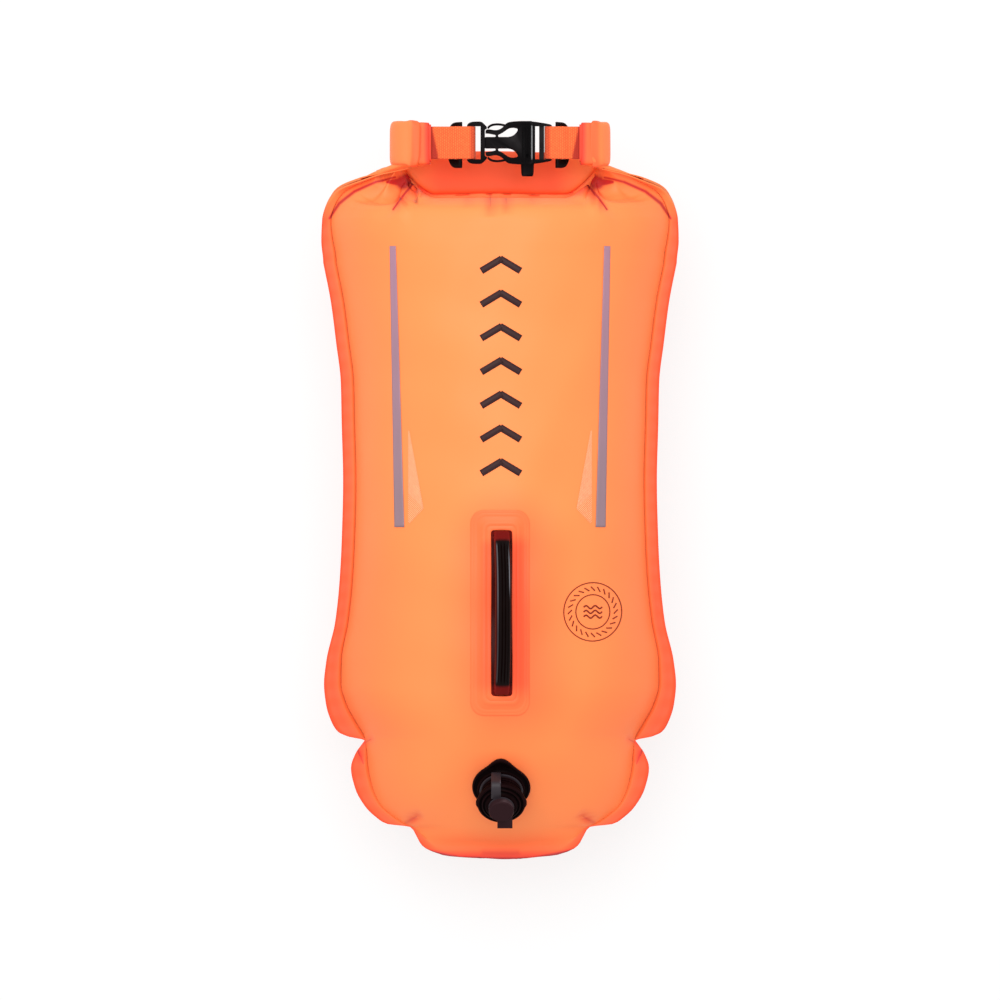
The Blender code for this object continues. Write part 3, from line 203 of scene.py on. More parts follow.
# Share of the way from the shoulders up to the roll, how far the row is curled forward, the
# front's fullness in the middle, in the pleat beside it and at the side, and the rear's fullness
SHOULDER_SHARES = (
    (0.00, 0.00, 1.000, 1.000, 1.000, 1.000),
    (0.22, 0.00, 1.000, 1.000, 1.000, 0.985), (0.45, 0.01, 0.990, 0.960, 0.970, 0.920),
    (0.60, 0.06, 0.975, 0.890, 0.930, 0.790), (0.70, 0.13, 0.950, 0.790, 0.870, 0.600),
    (0.78, 0.24, 0.920, 0.640, 0.760, 0.420), (0.84, 0.38, 0.870, 0.460, 0.580, 0.270),
    (0.89, 0.54, 0.800, 0.290, 0.380, 0.160), (0.93, 0.70, 0.700, 0.140, 0.190, 0.080),
    (0.965, 0.86, 0.540, 0.050, 0.060, 0.030), (1.00, 1.00, 0.000, 0.000, 0.000, 0.000),
)
CREASE_LINE = ((0.0585, 0.2490), (0.0830, 0.2130))  # the shoulder's crease, seen from above
CREASE_SIDES = (0.055, 0.150)  # share of the mouth's half width on either side of the crease
SHOULDER_BAND = 0.70  # how wide the welded edge shows there, as a share of its full width
BAND_FADE_FROM, BAND_FADE_OVER = 0.10, 0.35  # shares of the way up over which it narrows
# Share of the way up from which a row's middle rises, half width of that middle as a share of the
# mouth's, and the share over which it passes into the sides
LATE_RISE = (0.88, 0.50, 0.12)
BOTTOM_BOW = (0.0020, 0.0140, 0.0600)  # how far the bottom edge bows down, its depth and half width
BOTTOM_WAVE = (0.25, 130.0)  # unevenness of that bow, as a share of it, and waves' rate
LINER_REACH = 6  # row of the table at which the inner sheet ends
ROW_STEP = 0.0036  # between rows along the bag
SHOULDER_STEPS = 6  # rows for each row of the shoulders' table
PANEL_STEPS = 48  # columns from the middle to the seam
BAND_STEPS = 4  # columns across the welded edge


def ease(t):
    """A smooth step from 0 to 1."""
    t = np.clip(t, 0.0, 1.0)
    return t * t * (3 - 2 * t)


def through_table(places, values, at):
    """A smooth curve through a table that never overshoots between its rows."""
    places, values, at = (np.asarray(v, float) for v in (places, values, at))
    run = np.diff(places)
    slope = np.diff(values) / run
    tangent = np.zeros(len(places))
    tangent[0], tangent[-1] = slope[0], slope[-1]
    before, after = slope[:-1], slope[1:]
    same = before * after > 0
    w1, w2 = 2 * run[1:] + run[:-1], run[1:] + 2 * run[:-1]
    with np.errstate(divide="ignore", invalid="ignore"):
        mean = (w1 + w2) / (w1 / before + w2 / after)
    tangent[1:-1] = np.where(same, mean, 0.0)
    i = np.clip(np.searchsorted(places, at, side="right") - 1, 0, len(run) - 1)
    t = (at - places[i]) / run[i]
    return (
        values[i] * (2 * t**3 - 3 * t**2 + 1) + run[i] * tangent[i] * (t**3 - 2 * t**2 + t)
        + values[i + 1] * (3 * t**2 - 2 * t**3) + run[i] * tangent[i + 1] * (t**3 - t**2)
    )


def mouth_runs(end_x):
    """Lengths of the mouth's path from its middle to one end: back, corner, side, corner, front."""
    back = MOUTH_HALF_SPAN - MOUTH_CORNER
    quarter = math.pi / 2 * MOUTH_CORNER
    return back, quarter, MOUTH_DEPTH - 2 * MOUTH_CORNER, quarter, back - end_x


def mouth_path(shares):
    """Points of the rolled mouth's middle line, and its outward directions.

    shares run from -1, the left end, to 1, the right one. The path is a flat C that opens forward.
    """
    points, tangents = [], []
    for share in np.ravel(shares):
        side = -1.0 if share < 0 else 1.0
        back, quarter, *_ = runs = mouth_runs(LEFT_END_X if share < 0 else RIGHT_END_X)
        along = left = abs(share) * sum(runs)
        x = z = heading = 0.0
        for number, run in enumerate(runs):
            step, left = min(left, run), max(left - run, 0.0)
            if number in MOUTH_CORNERS:
                turned = heading + step / MOUTH_CORNER
                x += MOUTH_CORNER * (math.sin(turned) - math.sin(heading))
                z += MOUTH_CORNER * (math.cos(heading) - math.cos(turned))
                heading = turned
            else:
                x, z = x + step * math.cos(heading), z + step * math.sin(heading)
        rise = ease((along - back * MOUTH_RISE_FROM) / (back * (1 - MOUTH_RISE_FROM) + quarter))
        y = MOUTH_BACK_Y + rise * (MOUTH_FRONT_Y - MOUTH_BACK_Y)
        points.append((side * x, y, SEAM_HEIGHT + z))
        tangents.append((math.cos(heading), 0.0, side * math.sin(heading)))
    return np.array(points), np.cross((0.0, 1.0, 0.0), np.array(tangents))


def grid_normals(points):
    """Unit normals of a grid of points, to the side of columns x rows."""
    normals = np.cross(np.gradient(points, axis=1), np.gradient(points, axis=0))
    return normals / np.maximum(np.linalg.norm(normals, axis=2, keepdims=True), 1e-12)


def medial_grid():
    """The surface midway between the sheets, with the front's and the rear's fullness on it."""
    half = np.sin(np.linspace(0, math.pi / 2, PANEL_STEPS + 1))
    shares = np.concatenate([-half[:0:-1], half])
    band = np.arange(1, BAND_STEPS + 1) / BAND_STEPS
    share = np.concatenate([-np.ones(BAND_STEPS), shares, np.ones(BAND_STEPS)])
    out = np.concatenate([band[::-1], np.zeros(len(shares)), band])
    table = np.array(OUTLINE_SHARES)
    places = [0.0]
    for low, high in zip(table[:-1, 0], table[1:, 0]):
        pieces = max(3, math.ceil((high - low) * BODY_LENGTH / ROW_STEP))
        places += list(np.linspace(low, high, pieces + 1)[1:])
    places = np.array(places)
    inner = through_table(table[:, 0], table[:, 2], places) * HALF_WIDTH - SEAM_BAND
    outer = np.maximum(through_table(table[:, 0], table[:, 1], places) * HALF_WIDTH, inner + SHEET)
    along = places * BODY_LENGTH
    x = share * (inner[:, None] + (outer - inner)[:, None] * out)
    y = np.broadcast_to((BOTTOM_Y + along)[:, None], x.shape)
    body = np.stack([x, y, np.full(x.shape, SEAM_HEIGHT)], axis=2)
    full = 1 - np.maximum(0.0, 1 - (along - SEAM_BAND) / END_ROUNDING) ** 2
    full = np.broadcast_to(np.where(along > SEAM_BAND, full, 0.0)[:, None], x.shape)
    table = np.array(SHOULDER_SHARES)
    steps = np.interp(
        np.arange(1, (len(table) - 1) * SHOULDER_STEPS + 1) / SHOULDER_STEPS,
        np.arange(len(table)), table[:, 0])
    half = HALF_WIDTH * (1 - (1 - OUTLINE_SHARES[-1][1]) * (1 - ease(steps / table[1, 0])))
    narrowed = ease((steps[:, None] - BAND_FADE_FROM) / BAND_FADE_OVER)
    band = SEAM_BAND * (1 - (1 - SHOULDER_BAND) * narrowed)
    curl, middle, pleat, side, rear = (
        through_table(table[:, 0], table[:, i], steps)[:, None] for i in range(1, 6))
    up = steps[:, None]
    run = np.where(share < 0, sum(mouth_runs(LEFT_END_X)), sum(mouth_runs(RIGHT_END_X)))
    path, _ = mouth_path(share * (1 - SEAM_BAND * SHOULDER_BAND / run))
    start = y[-1, 0]
    top = path[:, 1] - ROLL_HALF_HEIGHT - SHOULDER_DROP
    top = top + END_RAISE * ease((np.abs(share) - END_RAISE_FROM) / END_RAISE_OVER)
    turn = math.pi * ease(curl)
    sx = (1 - curl) * share * (half[:, None] - band) + curl * path[:, 0]
    sx = sx + band * out * np.sign(share) * np.cos(turn)
    level_top = MOUTH_BACK_Y - ROLL_HALF_HEIGHT - SHOULDER_DROP
    late = 1 - ease((np.abs(share) - LATE_RISE[1]) / LATE_RISE[2])
    rising = up + (ease((up - LATE_RISE[0]) / (1 - LATE_RISE[0])) - up) * late
    sy = start + (level_top - start) * up + (top - level_top) * rising
    sz = SEAM_HEIGHT + curl * (path[:, 2] - SEAM_HEIGHT) + band * out * np.sin(turn)
    shoulder = np.stack([sx, sy, sz], axis=2)
    (high_x, high_y), (low_x, low_y) = CREASE_LINE
    crease = high_x + (low_x - high_x) * np.clip((high_y - sy) / (high_y - low_y), 0, 1.3)
    crease = crease / (HALF_WIDTH - SEAM_BAND)
    into = ease((np.abs(share) - crease + CREASE_SIDES[0]) / CREASE_SIDES[0])
    past = ease((np.abs(share) - crease) / CREASE_SIDES[1])
    front = middle + (pleat - middle) * into + (side - pleat) * past
    medial = np.concatenate([body, shoulder])
    deep, reach, half = BOTTOM_BOW
    bow = deep * np.exp(-(((medial[..., 1] - BOTTOM_Y) / reach) ** 2))
    bow = bow * np.clip(1 - (medial[..., 0] / half) ** 2, 0, 1)
    medial[..., 1] -= bow * (1 + BOTTOM_WAVE[0] * np.sin(medial[..., 0] * BOTTOM_WAVE[1] + 1.0))
    front = np.concatenate([full, front])
    rear = np.concatenate([full, np.broadcast_to(rear, sx.shape)])
    # Above the inner sheet's end the front and the rear one lie on each other
    apart = (SHEET + GAP) * (1 - 0.55 * ease((steps - table[LINER_REACH, 0]) / 0.05))
    apart = np.concatenate([np.full(len(places), SHEET + GAP), apart])[:, None, None]
    return medial, front, rear, share, out, apart


def arch(share):
    """Height of a sheet's arc across the bag, from 1 in the middle to 0 at the seam."""
    reach = 1 / math.sin(SEAM_ANGLE)
    foot = math.sqrt(reach**2 - 1)
    return (np.sqrt(reach**2 - np.minimum(1.0, np.abs(share)) ** 2) - foot) / (reach - foot)


def fold(points, start, end, width, depth, sharp):
    """How deep a fold between two places seen from above presses each point, in metres."""
    start, end = np.array(start), np.array(end)
    line = end - start
    t = np.clip(((points[..., :2] - start) @ line) / (line @ line), 0.0, 1.0)
    away = np.linalg.norm(points[..., :2] - start - t[..., None] * line, axis=-1)
    fade = np.sin(np.pi * np.clip(0.12 + 0.88 * t, 0, 1)) ** 0.6
    return depth * fade * np.exp(-((away / width) ** (1 + sharp)))


medial, front_full, rear_full, share, out, apart = medial_grid()
normal = grid_normals(medial)
level = normal * (1.0, SWELL_LEAN, 1.0)
level /= np.linalg.norm(level, axis=2, keepdims=True)
rear_level = normal * (1.0, 0.0, 1.0)
rear_level /= np.linalg.norm(rear_level, axis=2, keepdims=True)
front_points = medial + normal * apart + level * (
    front_full * FRONT_CROWN * arch(share))[..., None]
rear_crown = SEAM_HEIGHT + GROUND_SINK - SHEET / 2
rear_points = medial - normal * apart - rear_level * (
    rear_full * rear_crown * arch(share))[..., None]


def mirrored(*lines):
    """Lines on the right side of the bag, each with its like on the left."""
    return [((side * x0, y0), (side * x1, y1), *rest)
            for side in (-1.0, 1.0) for (x0, y0), (x1, y1), *rest in lines]


# Folds pressed into the front sheet: start and end seen from above, half width, depth, sharpness
FOLDS = (
    ((-0.0075, 0.2300), (-0.0070, 0.2060), 0.0038, 0.0030, 0.8),
    ((0.0045, 0.2300), (0.0050, 0.2080), 0.0038, 0.0026, 0.8),
    ((-0.0240, 0.2300), (-0.0240, 0.2130), 0.0036, 0.0016, 0.8),
    ((0.0250, 0.2300), (0.0245, 0.2150), 0.0036, 0.0014, 0.8),
    ((-0.1085, -0.2010), (-0.1050, -0.2110), 0.0022, 0.0035, 0.6),
    ((0.1075, -0.2010), (0.1045, -0.2110), 0.0022, 0.0035, 0.6),
    *mirrored(
        ((0.0640, 0.2390), (0.0815, 0.2110), 0.0026, 0.0045, 0.6),
        ((0.1060, -0.1960), (0.0960, -0.1900), 0.0026, 0.0022, 0.8),
        ((0.0700, -0.2560), (0.0600, -0.2480), 0.0032, 0.0040, 0.7)),
)
WAVES = (  # soft unevenness of the blown-up sheet: places a metre across and along, phase, height
    (9.0, 5.0, 0.4, 0.0007), (-14.0, 8.0, 1.9, 0.0005), (5.0, 17.0, 3.1, 0.0005),
    (23.0, -11.0, 5.2, 0.0003),
)


def soft_waves(points):
    """The gentle unevenness of a blown-up sheet, as heights over it."""
    height = np.zeros(points.shape[:-1])
    for across, along, phase, size in WAVES:
        height += size * np.sin(
            2 * math.pi * (across * points[..., 0] + along * points[..., 1]) + phase)
    return height


press = sum(fold(front_points, *line) for line in FOLDS)
along_bag = medial[..., 1] - BOTTOM_Y
inside_seam = ease((1 - np.abs(share)) / 0.06) * (out == 0) * ease((along_bag - SEAM_BAND) / 0.03)
front_push = (soft_waves(front_points) - press) * inside_seam
rear_push = soft_waves(rear_points + 0.3) * inside_seam
front_points += level * front_push[..., None]
rear_points += rear_level * rear_push[..., None]

# The weld presses a shallow groove along the seam's inner edge, and its outer edge ripples
WELD_GROOVE = 0.0002
WELD_PLACE, WELD_WIDTH = 0.18, 0.12  # as shares of the welded edge's width
EDGE_RIPPLE = 0.0004
EDGE_RATE = 460.0
groove = WELD_GROOVE * np.exp(-(((out - WELD_PLACE) / WELD_WIDTH) ** 2)) * (out > 0)
ripple = EDGE_RIPPLE * np.sin(medial[..., 1] * EDGE_RATE) * (out > 0) * out
front_points += normal * (ripple - groove)[..., None]
rear_points += normal * (ripple + groove)[..., None]
front_points[..., 2] = np.maximum(front_points[..., 2], SHEET)
rear_points[..., 2] = np.maximum(rear_points[..., 2], SHEET / 2)

# At the top both sheets run on into the roll
INTO_ROLL = (0.0015, 0.0030, 0.0048)
into_roll = np.array([(0.0, d, 0.0) for d in INTO_ROLL])[:, None]
front_points = np.concatenate([front_points, front_points[-1:] + into_roll])
rear_points = np.concatenate([rear_points, rear_points[-1:] + into_roll])
medial = np.concatenate([medial, medial[-1:] + into_roll])
press = np.concatenate([press, np.zeros((len(INTO_ROLL), press.shape[1]))])
inside_seam = np.concatenate([inside_seam, inside_seam[-len(INTO_ROLL):]])
along_bag = medial[..., 1] - BOTTOM_Y

# Air at a soft pressure fills the sheets out a little more, as a cloth held round its seam
PRESSURE = 4.0
SWELL_LIMIT = 0.005
SWELL_FRAMES = 20
SWELL_EVERY = 3  # one column and row in so many goes into the simulation
HARDWARE_REACH = 0.034  # what is welded on the front holds it where it is
CLOTH = {
    "quality": 6, "mass": 0.25, "tension_stiffness": 40, "compression_stiffness": 40,
    "shear_stiffness": 20, "bending_stiffness": 2.0, "vertex_group_mass": "held",
    "pin_stiffness": 5, "use_pressure": True, "uniform_pressure_force": PRESSURE}


def every(count, step):
    """Indices through a row of the grid, with both ends kept."""
    return np.array([*range(0, count - 1, step), count - 1])


def quads(rows, columns):
    """Corner indices of a grid's faces, wound so that they face along its normals."""
    r, c = np.meshgrid(np.arange(rows - 1), np.arange(columns - 1), indexing="ij")
    a = (r * columns + c).ravel()
    return np.stack([a, a + 1, a + columns + 1, a + columns], axis=1)


def grid_mesh(name, points, way):
    """A mesh through a grid of points, which faces along its normals or, for -1, against them."""
    faces = quads(*points.shape[:2])[:, ::way]
    mesh = bpy.data.meshes.new(name)
    mesh.from_pydata(points.reshape(-1, 3).tolist(), [], faces.tolist())
    return mesh


def vertex_places(mesh):
    """The places of a mesh's vertices."""
    places = np.empty(len(mesh.vertices) * 3)
    mesh.vertices.foreach_get("co", places)
    return places.reshape(-1, 3)


def filled_with_air(name, points, held, way):
    """How far each point moves when air presses a sheet that is held where held is 1."""
    rows, columns = every(points.shape[0], SWELL_EVERY), every(points.shape[1], SWELL_EVERY)
    coarse = points[np.ix_(rows, columns)]
    sheet = placed(name, grid_mesh(name, coarse, way))
    group = sheet.vertex_groups.new(name="held")
    for i, weight in enumerate(held[np.ix_(rows, columns)].ravel()):
        group.add([i], float(weight), "REPLACE")
    cloth = sheet.modifiers.new("cloth", "CLOTH")
    for setting, value in CLOTH.items():
        setattr(cloth.settings, setting, value)
    cloth.settings.effector_weights.gravity = 0
    cloth.collision_settings.use_collision = False
    cloth.point_cache.frame_start, cloth.point_cache.frame_end = 1, SWELL_FRAMES
    for step in range(1, SWELL_FRAMES + 1):
        scene.frame_set(step)
    graph = bpy.context.evaluated_depsgraph_get()
    moved = vertex_places(sheet.evaluated_get(graph).data).reshape(coarse.shape) - coarse
    scene.frame_set(1)
    bpy.data.objects.remove(sheet, do_unlink=True)
    fine = np.empty(points.shape)
    for axis in range(3):
        across = np.array([
            np.interp(np.arange(points.shape[1]), columns, line) for line in moved[..., axis]])
        fine[..., axis] = np.array([
            np.interp(np.arange(points.shape[0]), rows, line) for line in across.T]).T
    length = np.linalg.norm(fine, axis=2, keepdims=True)
    capped = fine * (SWELL_LIMIT * np.tanh(length / SWELL_LIMIT) / np.maximum(length, 1e-9))
    return capped * (1 - held)[..., None]


HANDLE_CENTRE = (0.0012, -0.0940)
HANDLE_HOLD = (0.030, 0.085)  # half width and half length of what the handle holds in place
TOP_ROWS = 22  # rows below the roll that it holds
TOP_FADE = 10.0  # and how many of them fade in
VALVE_CENTRE = (0.0010, -0.2275)
hardware = np.exp(-(np.hypot(
    front_points[..., 0] - VALVE_CENTRE[0], front_points[..., 1] - VALVE_CENTRE[1]
) / HARDWARE_REACH) ** 4)
hardware = np.maximum(hardware, np.exp(
    -((front_points[..., 0] - HANDLE_CENTRE[0]) / HANDLE_HOLD[0]) ** 4
    - ((front_points[..., 1] - HANDLE_CENTRE[1]) / HANDLE_HOLD[1]) ** 4))
edge_held = 1 - inside_seam
row_index = np.arange(front_points.shape[0])[:, None]
top_held = ease((row_index - (front_points.shape[0] - TOP_ROWS)) / TOP_FADE) * np.ones(share.shape)
lying = ease((0.02 - rear_points[..., 2]) / 0.015)
front_held = np.maximum.reduce([edge_held, hardware, top_held, np.clip(press / 0.002, 0, 1)])
rear_held = np.maximum.reduce([edge_held, top_held, lying])
front_points += filled_with_air("front_air", front_points, front_held, 1)
rear_points += filled_with_air("rear_air", rear_points, rear_held, -1)
rear_points[..., 2] = np.maximum(rear_points[..., 2], SHEET / 2)


def set_uv(mesh, flat):
    """A UV map in metres, from the place of each vertex on the flat cloth."""
    layer = mesh.uv_layers.new(name="cloth")
    corners = np.empty(len(mesh.loops), int)
    mesh.loops.foreach_get("vertex_index", corners)
    layer.data.foreach_set("uv", flat[corners].ravel())


def set_attribute(mesh, label, values):
    """An attribute of a mesh's points, with a number for each of them."""
    made = mesh.attributes.new(label, "FLOAT", "POINT")
    made.data.foreach_set("value", np.asarray(values, np.float32).ravel())


def add_wall(obj, name, thickness):
    """Gives a sheet its thickness, half of it on either side."""
    wall = obj.modifiers.new(name, "SOLIDIFY")
    wall.thickness = thickness
    wall.offset = 0.0


def sheet_object(name, points, finish, way, attributes=(), thickness=SHEET):
    """A sheet through a grid of points, with a UV map in metres, a wall and smooth faces."""
    mesh = grid_mesh(name, points, way)
    step = np.linalg.norm(np.diff(points, axis=1), axis=2)
    u = np.pad(np.cumsum(step, axis=1), ((0, 0), (1, 0)))
    middle = points.shape[1] // 2
    step = np.linalg.norm(np.diff(points[:, middle], axis=0), axis=1)
    v = np.concatenate([[0.0], np.cumsum(step)])
    uv = np.stack([u - u[:, middle, None], np.broadcast_to(v[:, None], u.shape)], axis=2)
    set_uv(mesh, uv.reshape(-1, 2))
    for label, values in attributes:
        set_attribute(mesh, label, np.broadcast_to(values, u.shape))
    mesh.shade_smooth()
    mesh.materials.append(finish)
    obj = placed(name, mesh)
    add_wall(obj, "wall", thickness)
    return obj


WEAVE_PITCH = 0.00055
ORANGE = (1.0, 0.272, 0.076, 1.0)
ORANGE_DEEP = (1.0, 0.236, 0.061, 1.0)
SHADE_ORANGE = (0.98, 0.094, 0.026, 1.0)
FOLD_SHADE_RED = (0.78, 0.045, 0.022, 1.0)


def new_finish(name):
    """A new material, its tree, its main shader and the piece's own coordinates."""
    finish = bpy.data.materials.new(name)
    finish.use_nodes = True
    tree = finish.node_tree
    place = add(tree, "ShaderNodeTexCoord").outputs["Object"]
    return finish, tree, tree.nodes["Principled BSDF"], place


def noise(tree, place, scale, detail=2.0):
    """The output of a cloudy noise at a place."""
    return add(tree, "ShaderNodeTexNoise", {
        "Vector": place, "Scale": scale, "Detail": detail}).outputs["Fac"]


def bump(tree, height, strength, distance, normal=None):
    """The normal of a surface that a height raises, over another bump's normal if one is given."""
    values = {"Height": height, "Strength": strength, "Distance": distance}
    if normal:
        values["Normal"] = normal
    return add(tree, "ShaderNodeBump", values).outputs["Normal"]


def mix_colour(tree, factor, first, second):
    """A colour between two, each a value or an output, by a factor's output."""
    values = {"Factor": factor, 6: first, 7: second}
    return add(tree, "ShaderNodeMix", values, data_type="RGBA").outputs[2]


def tinted(tree, colour, tints):
    """A colour tinted by the attributes that tints names, each with its own colour."""
    for label, tint in tints:
        read = add(tree, "ShaderNodeAttribute", attribute_name=label)
        colour = mix_colour(tree, read.outputs["Fac"], colour, tint)
    return colour


def near_lines(tree, place, lines):
    """How close a place seen from above is to any of some lines, from 0 to each one's strength.

    A line is its start, its end, its half width at each of them, and its strength.
    """
    def vector_step(operation, first, second):
        return add(
            tree, "ShaderNodeVectorMath", {0: first, 1: second}, operation=operation).outputs

    flat = vector_step("MULTIPLY", place, (1.0, 1.0, 0.0))[0]
    nearest = 0.0
    for start, end, start_width, end_width, strength in lines:
        run = (end[0] - start[0], end[1] - start[1], 0.0)
        square = run[0] ** 2 + run[1] ** 2
        from_start = vector_step("SUBTRACT", flat, (*start, 0.0))[0]
        along = vector_step("DOT_PRODUCT", from_start, tuple(v / square for v in run))["Value"]
        along = add(tree, "ShaderNodeClamp", {"Value": along}).outputs[0]
        reached = add(
            tree, "ShaderNodeVectorMath", {0: run, "Scale": along}, operation="SCALE").outputs[0]
        away = vector_step("DISTANCE", from_start, reached)["Value"]
        width = math_node(tree, "MULTIPLY_ADD", along, end_width - start_width, start_width)
        fade = add(tree, "ShaderNodeMapRange", {
            "Value": math_node(tree, "DIVIDE", away, width), "To Min": strength, "To Max": 0.0,
        }, interpolation_type="SMOOTHSTEP")
        nearest = math_node(tree, "MAXIMUM", fade.outputs["Result"], nearest)
    return nearest


def chain(strengths, *knots):
    """Lines from knot to knot, each knot a place and the half width there."""
    return [
        ((x0, y0), (x1, y1), w0, w1, strength)
        for (x0, y0, w0), (x1, y1, w1), strength in zip(knots, knots[1:], strengths)]


def coated_cloth(name, base, deep, roughness, shades=()):
    """Coated polyester: the weave shows softly through the film, and the colour drifts a little.

    The piece's flat attribute is 1 where it is welded flat and paints a redder shade; its fold
    attribute paints a darker shade in a pleat. shades are painted shade colours with the lines seen
    from above along which they lie.
    """
    finish, tree, shader, place = new_finish(name)
    colour = mix_colour(tree, noise(tree, place, 7.0, 3.0), base, deep)
    # Painted shade: redder where the flat attribute is, darker where the fold attribute is
    colour = tinted(tree, colour, (("flat", SHADE_ORANGE), ("fold", FOLD_SHADE_RED)))
    for tint, lines in shades:
        colour = mix_colour(tree, near_lines(tree, place, lines), colour, tint)
    uv = add(tree, "ShaderNodeUVMap", uv_map="cloth").outputs["UV"]
    split = add(tree, "ShaderNodeSeparateXYZ", {0: uv})
    threads = [
        math_node(tree, "SINE", math_node(tree, "MULTIPLY", across, math.pi / WEAVE_PITCH))
        for across in split.outputs[:2]]
    cross = math_node(tree, "MULTIPLY", *threads)
    grain = noise(tree, place, 900.0)
    film = bump(tree, noise(tree, place, 55.0), 0.10, 0.0008)
    wire(tree, shader, {
        "Base Color": colour, "Normal": bump(tree, cross, 0.10, 0.00006, film),
        "Roughness": math_node(tree, "MULTIPLY_ADD", grain, 0.12, roughness - 0.06),
        "Specular IOR Level": 0.30, "Sheen Weight": 0.06, "Sheen Roughness": 0.4})
    return finish


# Painted shade: in the pleats at the shoulders the cloth sees only itself, which leaves them deep
# red, and that red is painted on along lines seen from above. The same painted shade goes on the
# collar's small puckers, the lower corners' creases and the cut edge at the bottom. The sheet is
# painted a little redder where it dips, as shade.
HOLLOW_SHADE_ORANGE = (1.0, 0.105, 0.030, 1.0)
SHOULDER_SHADE_RED = (0.52, 0.022, 0.020, 1.0)
PLEAT_SHADE_DARK = (0.16, 0.008, 0.010, 1.0)
shoulder_shades = mirrored(
    ((0.0570, 0.2490), (0.0815, 0.2130), 0.0022, 0.0012, 1.20),
    ((0.0585, 0.2480), (0.0745, 0.2350), 0.0010, 0.0082, 1.90),
    ((0.0745, 0.2350), (0.0860, 0.2350), 0.0060, 0.0020, 1.60),
    *chain(
        (1.10, 1.10, 1.10, 1.00), (0.1310, 0.2080, 0.0016), (0.1235, 0.2190, 0.0026),
        (0.1115, 0.2280, 0.0024), (0.0950, 0.2350, 0.0020), (0.0800, 0.2385, 0.0016)),
    ((0.1085, -0.2010), (0.1050, -0.2110), 0.0022, 0.0008, 0.70),
    ((0.1060, -0.1960), (0.0990, -0.1920), 0.0016, 0.0008, 0.35),
    ((0.0720, -0.2560), (0.0640, -0.2510), 0.0024, 0.0010, 0.30),
)
pleat_shades = mirrored(
    ((0.0568, 0.2495), (0.0690, 0.2310), 0.0010, 0.0006, 0.45),
    ((0.1095, -0.2000), (0.1080, -0.2050), 0.0009, 0.0004, 0.55),
)
collar_fold_shades = (
    *chain((0.55, 0.40), (-0.0075, 0.2262, 0.0026), (-0.0110, 0.2350, 0.0010),
           (-0.0210, 0.2420, 0.0032)),
    *chain((0.38, 0.34), (-0.0240, 0.2265, 0.0020), (-0.0330, 0.2350, 0.0030),
           (-0.0520, 0.2410, 0.0012)),
    *chain((0.50, 0.35), (0.0045, 0.2262, 0.0026), (0.0075, 0.2345, 0.0010),
           (0.0200, 0.2420, 0.0030)),
    *chain((0.34, 0.30), (0.0250, 0.2265, 0.0018), (0.0350, 0.2340, 0.0030),
           (0.0540, 0.2400, 0.0012)),
    ((-0.0075, 0.2262), (-0.0072, 0.2150), 0.0013, 0.0006, 0.45),
    ((0.0045, 0.2262), (0.0048, 0.2170), 0.0013, 0.0006, 0.40),
)
# Painted shade, a little redder, where the sheet dips round the handle's patch, the valve and the
# collar's corners
hollow_shades = (  # where the sheet dips round the handle's patch, the valve and the collar's corners
    ((0.0060, -0.0480), (0.0060, -0.1500), 0.0600, 0.0600, 0.75),
    ((0.0010, -0.2230), (0.0010, -0.2330), 0.0330, 0.0310, 0.72),
    *mirrored(
        ((0.0560, 0.2480), (0.0630, 0.2295), 0.0040, 0.0100, 0.95),
        ((0.0450, 0.2300), (0.0630, 0.2295), 0.0040, 0.0100, 0.95)),
)
# Painted shade along the bottom, where the cloth's cut edge turns under: a red band, a darker line
# at the very edge, and a wider soft band in the middle
bottom_edge_shade = chain(  # the cloth's cut edge, turned under, along the bottom
    [0.95] * 4, (-0.0560, -0.2782, 0.0028), (-0.0309, -0.2834, 0.0028),
    (-0.0100, -0.2840, 0.0028), (0.0250, -0.2843, 0.0028), (0.0560, -0.2778, 0.0028))
cut_edge_shade = [(start, end, 0.0016, 0.0016, 0.50) for start, end, *_ in bottom_edge_shade]
bottom_edge_shade.append(((-0.0120, -0.2795), (0.0130, -0.2795), 0.0045, 0.0045, 0.35))
front_finish = coated_cloth("coated_front", ORANGE, ORANGE_DEEP, 0.52, (
    (HOLLOW_SHADE_ORANGE, hollow_shades), (SHOULDER_SHADE_RED, [*shoulder_shades, *collar_fold_shades, *bottom_edge_shade]),
    (PLEAT_SHADE_DARK, [*pleat_shades, *cut_edge_shade])))
rear_finish = coated_cloth(
    "coated_rear", ORANGE, ORANGE_DEEP, 0.55,
    ((SHOULDER_SHADE_RED, bottom_edge_shade), (PLEAT_SHADE_DARK, cut_edge_shade)))
liner_finish = coated_cloth("coated_liner", (0.72, 0.20, 0.07, 1.0), (0.66, 0.18, 0.06, 1.0), 0.6)

# Painted shade: the welded edge is tinted redder, except under the mouth, and the sheet takes a
# little of that painted shade towards its sides, beside the bottom edge and below its middle. Folds
# and the outermost edge, at the sides and the bottom, are painted darker, as shade.
seam_and_slope_shade = ease(out / 0.10) * (0.62 + 0.38 * ease(out / 0.8))
seam_and_slope_shade = seam_and_slope_shade * (1 - 0.80 * ease((medial[..., 1] - 0.205) / 0.020))
seam_and_slope_shade = np.maximum(seam_and_slope_shade, 0.16 * ease((np.abs(share) - 0.50) / 0.45))
seam_and_slope_shade = np.maximum(seam_and_slope_shade, 0.70 * ease((0.026 - along_bag) / 0.026))
lower_body_shade = ease((0.007 - medial[..., 1]) / 0.12) * (
    1 - 0.6 * ease((-0.160 - medial[..., 1]) / 0.050))
seam_and_slope_shade = np.clip(seam_and_slope_shade + 0.13 * lower_body_shade, 0, 1)
fold_shade = np.clip(press / 0.0055, 0, 0.9)
fold_shade = np.maximum(fold_shade, 0.85 * ease((0.0050 - along_bag) / 0.0045))
